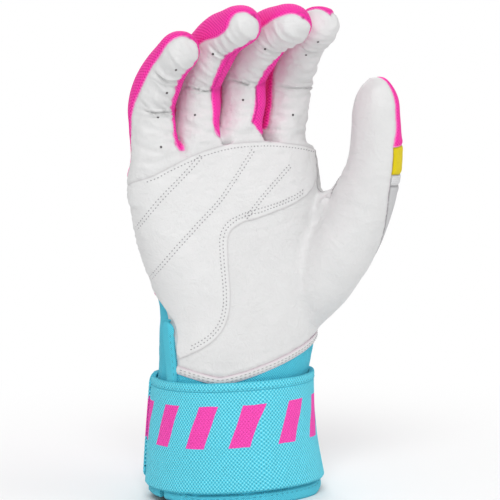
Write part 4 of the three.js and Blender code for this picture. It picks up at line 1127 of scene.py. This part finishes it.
rows = []
for row in channel_spots:
    rows += [laid(beside(row, 0.9), patch_tree, 0.05), laid(beside(row, -0.9), patch_tree, 0.05)]
for inset in (STITCH_INSET, 3.7):
    edge_row = []
    for k in range(len(patch_outline)):
        ahead = patch_outline[(k + 1) % len(patch_outline)] - patch_outline[k - 1]
        normal = np.array((-ahead[1], ahead[0])) / max(np.linalg.norm(ahead), 1e-6)
        inward = 1 if inside_outline((patch_outline[k] + normal)[None], patch_outline)[0] > 0 else -1
        point = patch_outline[k] + normal * inset * inward
        upper = point[1] > 0.5 * SHARE_MM
        at_side = point[0] < (-0.9 if upper else -0.82) * TURN_MM
        second_row_on_top = inset > STITCH_INSET and point[1] > 0.9 * SHARE_MM
        well_inside = inside_outline(point[None], patch_outline)[0] > inset * 0.8
        if well_inside and not at_side and not second_row_on_top:
            hit = on_palm(point[0] / TURN_MM, point[1] / SHARE_MM)
            if hit:
                edge_row.append(hit)
    pieces_of_row, run = [], []
    for k, hit in enumerate(edge_row):
        if run and (hit[0] - run[-1][0]).length > 8:
            pieces_of_row.append(run)
            run = []
        run.append(hit)
    pieces_of_row.append(run)
    rows += [laid(r, patch_tree, 0.05) for r in pieces_of_row if len(r) > 3]
piece("patch_stitches", stitch_form(rows, 0.75, 0.95, 0.3), thread, "hand")


# Hem. The leather ends at the wrist in a folded edge that is sewn down with two rows of thread.
HEM_WIDTH = 3.0
BESIDE_BINDING = SLIT + 7.8 / WRIST


FLAT_RADIUS = 38  # mm of flat cloth to a radian round the wrist


def wrap_form(columns, rows, start, end, low, high, out):
    """A sheet round the wrist between two angles and two heights, with rows crowded at its edges."""
    bm = bmesh.new()
    cloth = bm.verts.layers.float_vector.new("cloth")
    seam = bm.verts.layers.float.new("seam")
    made = bmesh.ops.create_grid(bm, x_segments=columns, y_segments=rows, size=1)["verts"]
    flat = np.array([v.co for v in made], float)
    u, w = (flat[:, 0] + 1) / 2, (flat[:, 1] + 1) / 2
    w = 0.5 - 0.5 * np.cos(math.pi * w)
    u = u + 0.5 * (0.5 - 0.5 * np.cos(math.pi * u) - u)
    angle = start + (end - start) * u
    bottom, top = low(angle), high(angle)
    height = bottom + (top - bottom) * w
    points = hand_point(angle, height, out(u, w, angle, height))
    for k, vert in enumerate(made):
        vert.co = points[k]
        vert[cloth] = (float(angle[k] * FLAT_RADIUS), float(height[k]), 0)
        vert[seam] = float(min((w[k] * (top - bottom)[k]), ((1 - w[k]) * (top - bottom)[k])))
    return bm


def soft_edge(w, span, full, drop=0.5, reach=0.9):
    """Thickness that rounds off toward both long edges."""
    near = np.minimum(w, 1 - w) * span
    return full - drop * (1 - ease(near, 0, reach))


def wave(angle, height, size, seed):
    """Slack in a cloth round the wrist, as soft waves of about a size in millimetres."""
    return np.array([noise.noise(Vector((math.cos(a) * FLAT_RADIUS / size, math.sin(a) * FLAT_RADIUS / size,
                                         h / size + seed))) for a, h in zip(angle, height)])


def outward_row(start, end, height, out, count=300):
    """Spots round the wrist between two angles, with their outward directions."""
    row = []
    for a in np.linspace(start, end, count):
        spot = hand_point(a, height(a), out)
        row.append((Vector(spot), Vector(hand_point(a, height(a), out + 1) - spot).normalized()))
    return row


hem_bm = wrap_form(150, 8, BESIDE_BINDING, RADIAL_SEAM, lambda a: hem_height(a) - 0.2 - HEM_WIDTH,
                   lambda a: hem_height(a) + 0.3,
                   lambda u, w, a, h: soft_edge(w, HEM_WIDTH, 0.75, 0.45) + 0.12 * wave(a, h, 5, 2))
hem_tree = BVHTree.FromBMesh(hem_bm)
piece("palm_hem_fold", hem_bm, white_leather, "hand", ["palm_hem"], wall=1.3)
hem_rows = []
for rise in (-0.9, -2.1):
    on_hem = outward_row(BESIDE_BINDING + 0.03, RADIAL_SEAM - 0.03, lambda a: hem_height(a) + rise, 0.85, 160)
    hem_rows.append(laid(on_hem, hem_tree, 0.03))
piece("hem_stitches", stitch_form(hem_rows, 1.3, 0.9, 0.25), thread, "hand")


# Cuff. A stretchy knitted tube in sky blue that is sewn under the leather, rises on the back of
# the hand, and is slit at the little finger's side so that the hand goes in.
def rim_height(angle):
    """The rim rises a little at both sides of the wrist."""
    return 3 * ease(np.abs(np.cos(angle)), 0.7, 1)


# Fine rib knit in sky blue: dull, with 1.2 mm ribs, painted a little darker between as shade and lighter on their
# knots as highlight, and darker in its seams as shade.
cuff_knit = knit_material("rib_knit_sky_blue", "#4fc9e2", "#62d6ec", "#38aec8", 1.2, 1.2, 0.8, "#3fb0c8")
SLIT_BACK = 2 * math.pi + SLIT - 2 / WRIST
cuff_bm = wrap_form(300, 60, SLIT + 1.0 / WRIST, SLIT_BACK, lambda a: rim_height(a) + 4,
                    lambda a: hem_height(a) - np.where(a < RADIAL_SEAM, 1.2, -1.0),
                    lambda u, w, a, h: -0.2 - 0.9 * ease(h, 60, 100) * ease(a, RADIAL_SEAM, 3 * RADIAL_SEAM)
                    + 0.5 * wave(a, h, 14, 7) + 0.25 * wave(a, h, 5, 9))
cuff = piece("knitted_cuff", cuff_bm, cuff_knit, "hand", ["cuff"], wall=1.5)

# Rim and slit bindings. A folded strip of the same knit closes the rim of the cuff, and another
# runs up the front edge of the slit and round its top. Both are sewn with one row of stitches.
rim_bm = wrap_form(300, 12, SLIT + 2 / WRIST, SLIT_BACK, rim_height, lambda a: rim_height(a) + 6,
                   lambda u, w, a, h: soft_edge(w, 6, 0.75, 0.8, 1.1) - 0.3 * np.exp(-((w * 6 - 4.2) / 0.5) ** 2)
                   + 0.15 * wave(a, h, 6, 4))
rim_tree = BVHTree.FromBMesh(rim_bm)
# Knitted tape, closer and a little brighter than the cuff, because it is folded tight.
# Like the cuff, it has painted shade in its holes and seams and a painted highlight on its knots.
binding_knit = knit_material("binding_tape_sky_blue", "#57cfe7", "#6adcf0", "#40b6cf", 0.9, 0.9, 0.75, "#43b5cc")
piece("cuff_rim_binding", rim_bm, binding_knit, "hand", ["rim_binding"], wall=2.8)


dark_thread, _, _ = flecked_material("polyester_thread_blue", "#2c93a8", "#49b3c8", 2500, 0.55)
rim_row = laid(outward_row(SLIT + 0.1, SLIT_BACK - 0.05, lambda a: float(rim_height(a)) + 4.2, 1.0), rim_tree, 0.05)

BINDING_TOP, HALF_BINDING, BINDING_LEAN = 84.5, 4.6, Vector((-2.2, 0.6, 0))
binding_bm = wrap_form(18, 60, SLIT - 1.0 / WRIST, SLIT + 8.2 / WRIST, lambda a: rim_height(a) + 6.3,
                       lambda a: BINDING_TOP - HALF_BINDING * (1 - np.sqrt(1 - np.clip(
                           ((a - SLIT) * WRIST - 3.6) / HALF_BINDING, -1, 1) ** 2)),
                       lambda u, w, a, h: 1.9 - 1.3 * (1 - ease(np.minimum(u, 1 - u) * 5.5, 0, 1.5))
                       - 0.7 * (1 - ease(1 - w, 0, 0.04)) + 0.2 * wave(a, h, 4, 5))
for vert in binding_bm.verts:
    lean = float(ease(vert.co.z, 55, 84))
    vert.co += BINDING_LEAN * lean
binding_tree = BVHTree.FromBMesh(binding_bm)
piece("slit_edge_binding", binding_bm, binding_knit, "hand", ["slit_binding"], wall=2.4)
slit_row = []
for h in np.linspace(58, 79, 40):
    a = SLIT + 6.4 / WRIST
    spot = Vector(hand_point(a, h, 1.2)) + BINDING_LEAN * float(ease(h, 55, 84))
    slit_row.append((spot, Vector((-0.6, -0.8, 0))))
slit_row = laid(slit_row, binding_tree, 0.05)
piece("cuff_stitches", stitch_form([rim_row, slit_row], 1.6, 1.3, 0.24), dark_thread, "hand")

# Wrist strap. A two-inch band of open knit, sewn to the cuff at the little finger's side, with a
# turned and stitched top hem. Its free end is a tab that closes on the back over pile fields.
STRAP_LOW, STRAP_TOP, STRAP_HEM = 7, 57, 53.4
STRAP_START, STRAP_FOLD, TAB_END = math.radians(-196), math.radians(98), math.radians(152)


def strap_wave(a, h):
    return 0.45 * wave(a, h, 26, 1) + 0.2 * wave(a, h, 9, 3)


# Open knit with holes 1.9 mm apart, painted shade in the holes and a painted highlight on the knots, and a row of
# bars in pink ink that sinks into the holes, where it is painted darker as shade.
strap_knit = knit_material(
    "strap_knit_sky_blue", "#5dd6ed", "#8bf0ff", "#3fb0c8", 1.9, 1.6, 0.8, "#4ab9d0", relief_mm=0.3,
    bars={"ink": "#ff4fbb", "ink_shaded_in_holes": "#f040a8", "pitch": 21.0, "share": 0.45, "slant": -0.36,
          "low": 27.5, "high": 46.5})
strap_bm = wrap_form(320, 60, STRAP_START, STRAP_FOLD - 0.004, lambda a: STRAP_LOW + 0 * a,
                     lambda a: STRAP_HEM + 0 * a,
                     lambda u, w, a, h: soft_edge(w, 46, 2.9, 0.7, 1.0) + strap_wave(a, h))
strap_cloth = strap_bm.verts.layers.float_vector["cloth"]
for vert in strap_bm.verts:
    turned = noise.noise(vert.co / 9) * 0.4
    vert[strap_cloth] = vert[strap_cloth] + Vector((turned, noise.noise(vert.co / 7 + Vector((9, 9, 9))) * 0.3, 0))
strap = piece("wrist_strap_band", strap_bm, strap_knit, "hand", ["wrist_strap"], wall=2.0)
strap_hem_bm = wrap_form(320, 10, STRAP_START, STRAP_FOLD - 0.004, lambda a: 52.9 + 0 * a,
                         lambda a: STRAP_TOP + 0 * a,
                         lambda u, w, a, h: soft_edge(w, 4, 3.0, 0.2, 0.4) - 0.3 * ease(h, 55, 57.2)
                         + strap_wave(a, h))
strap_hem_tree = BVHTree.FromBMesh(strap_hem_bm)
strap_hem = piece("wrist_strap_hem", strap_hem_bm, strap_knit, "hand", ["strap_hem"], wall=2.2)
strap_row = outward_row(STRAP_START + 0.03, STRAP_FOLD - 0.03, lambda a: 53.9, 3.4, 420)
strap_row = laid(strap_row, strap_hem_tree, 0.05)
piece("strap_stitches", stitch_form([strap_row], 1.2, 1.0, 0.24), dark_thread, "hand")

# Tab. The free end of the strap, with two round corners, which folds back to open the cuff.
TAB_MARGIN = 3 / 26.2  # 3 mm as an angle, on the cuff's narrow back


def round_end(a):
    """How much the tab's corners are cut back toward its end."""
    share = np.clip((a - TAB_END + 2 * TAB_MARGIN) / (2 * TAB_MARGIN), 0, 1)
    return 6 * (1 - np.sqrt(1 - share**2))


tab_bm = wrap_form(60, 60, STRAP_FOLD + 0.006, TAB_END, lambda a: STRAP_LOW + round_end(a) + 0.02,
                   lambda a: STRAP_TOP - round_end(a),
                   lambda u, w, a, h: soft_edge(w, 50, 4.2, 0.7, 1.0) - 0.5 * (1 - ease(1 - u, 0, 0.03)))
piece("strap_end_tab", tab_bm, strap_knit, "strap_tab", ["strap_tab"], wall=2.0)


def pile_material(name, base, high):
    """Nylon pile, which is too fine to show as loops and hooks, so it is drawn as a fuzz."""
    material, shader, fuzz = flecked_material(name, base, high, 2200, 0.95, 3)
    bump = add_node(material, "ShaderNodeBump", {"Strength": 1.0, "Distance": 0.0003}, {"Height": fuzz})
    material.node_tree.links.new(bump.outputs["Normal"], shader.inputs["Normal"])
    return material


# Fastening fields. Woven nylon pile: loops on the cuff and hooks under the tab.
loop_pile = pile_material("nylon_loop_pile", "#2f8ea3", "#46aec4")
hook_pile = pile_material("nylon_hook_pile", "#3593a7", "#58bacb")
for name, material, node, body, out, thick in (("loop_pile_field", loop_pile, "loop_field", "hand", 1.0, 0.7),
                                               ("hook_pile_field", hook_pile, "hook_field", "strap_tab", 1.9, 0.6)):
    field_bm = wrap_form(50, 40, STRAP_FOLD + TAB_MARGIN, TAB_END - 2 * TAB_MARGIN, lambda a: STRAP_LOW + 3 + 0 * a,
                         lambda a: STRAP_TOP - 3 + 0 * a,
                         lambda u, w, a, h: out + 0.08 * wave(a, h, 0.9, 6)
                         - 0.2 * (1 - ease(np.minimum(w, 1 - w), 0, 0.02)))
    piece(name, field_bm, material, body, [node], wall=thick)

# Vent holes. Small punched holes let air through the leather of the fingers. Each is a dark disc,
# a painted shadow of the glove's inside, where the photograph shows it, in its pixels.
HOLES = {
    "pinky": [(176, 70), (167, 93), (158, 117)], "ring": [(213, 54), (195, 115)], "middle": [(243, 100), (265, 49)],
    "index": [(318, 42), (306, 55), (293, 115)], "hand": [(161, 147)],
}
hole_dark, _, _ = flecked_material("punched_hole_shadow", "#4a4648", "#5d5859", 900, 0.9)
for body, marks in HOLES.items():
    holes = bmesh.new()
    for x, y in marks:
        hit = seen(skin_tree, x, y)
        if not hit:
            continue
        spot, normal = hit
        disc = bmesh.ops.create_cone(holes, cap_ends=True, segments=14, radius1=0.6, radius2=0.5, depth=0.3)["verts"]
        spin = Vector((0, 0, 1)).rotation_difference(normal)
        for vert in disc:
            vert.co = spin @ vert.co + spot
    fold = knuckle_fold(body) if body in FINGERS else None
    piece(f"vent_holes_{body}", holes, hole_dark, body, bend=fold)


# Studio. A plain pale floor and three soft lights; the background is white to the camera.
def stage_floor():
    bm = bmesh.new()
    bmesh.ops.create_grid(bm, x_segments=1, y_segments=1, size=12)
    mesh = bpy.data.meshes.new("studio_floor")
    bm.to_mesh(mesh)
    bm.free()
    floor = bpy.data.objects.new("studio_floor", mesh)
    scene.collection.objects.link(floor)
    return floor


floor = stage_floor()
paper, paper_shader, paper_place = new_material("studio_paper", {"Base Color": linear("#f4f4f4"), "Roughness": 0.9})
rays = add_node(paper, "ShaderNodeLightPath").outputs
camera_ray = add_node(paper, "ShaderNodeMath", {"operation": "ADD", "use_clamp": True},
                      {0: rays["Is Camera Ray"], 1: rays["Is Glossy Ray"]})
seen_ray = add_node(paper, "ShaderNodeMath", {"operation": "ADD", "use_clamp": True},
                    {0: camera_ray.outputs[0], 1: rays["Is Transmission Ray"]})
far = add_node(paper, "ShaderNodeVectorMath", {"operation": "LENGTH"}, {0: paper_place})
fade = add_node(paper, "ShaderNodeMapRange", {"From Min": 0.07, "From Max": 0.32, "interpolation_type": "SMOOTHSTEP"},
                {"Value": far.outputs["Value"]})
fade_seen = add_node(paper, "ShaderNodeMath", {"operation": "MULTIPLY"},
                     {0: fade.outputs["Result"], 1: seen_ray.outputs[0]})
glow = add_node(paper, "ShaderNodeEmission", {"Strength": 1.0})
mixed = add_node(paper, "ShaderNodeMixShader", links={"Fac": fade_seen.outputs[0], 1: paper_shader.outputs["BSDF"],
                                                      2: glow.outputs["Emission"]})
paper.node_tree.links.new(mixed.outputs["Shader"], paper.node_tree.nodes["Material Output"].inputs["Surface"])
floor.data.materials.append(paper)

world = bpy.data.worlds.new("studio_air")
scene.world = world
world.use_nodes = True
background = world.node_tree.nodes["Background"]
background.inputs["Color"].default_value = (1, 1, 1, 1)
world_rays = add_node(world, "ShaderNodeLightPath").outputs
seen_world = add_node(world, "ShaderNodeMapRange", {"To Min": 0.58, "To Max": 1.0},
                      {"Value": world_rays["Is Camera Ray"]})
world.node_tree.links.new(seen_world.outputs["Result"], background.inputs["Strength"])


def lamp(name, place, power, size):
    """A soft square lamp that is turned to the glove. Power in watts, size in metres."""
    light = bpy.data.lights.new(name, "AREA")
    light.energy = power
    light.size = size
    obj = bpy.data.objects.new(name, light)
    scene.collection.objects.link(obj)
    obj.location = place
    obj.rotation_euler = (LOOK_AT - Vector(place)).to_track_quat("-Z", "Y").to_euler()


lamp("key_light", (-0.6, -1.0, 1.15), 10.8, 0.6)
lamp("fill_light", (0.9, -0.8, 0.7), 2.8, 0.8)
lamp("back_light", (0.3, 1.0, 0.9), 5.0, 0.8)

scene.view_settings.view_transform = "Standard"
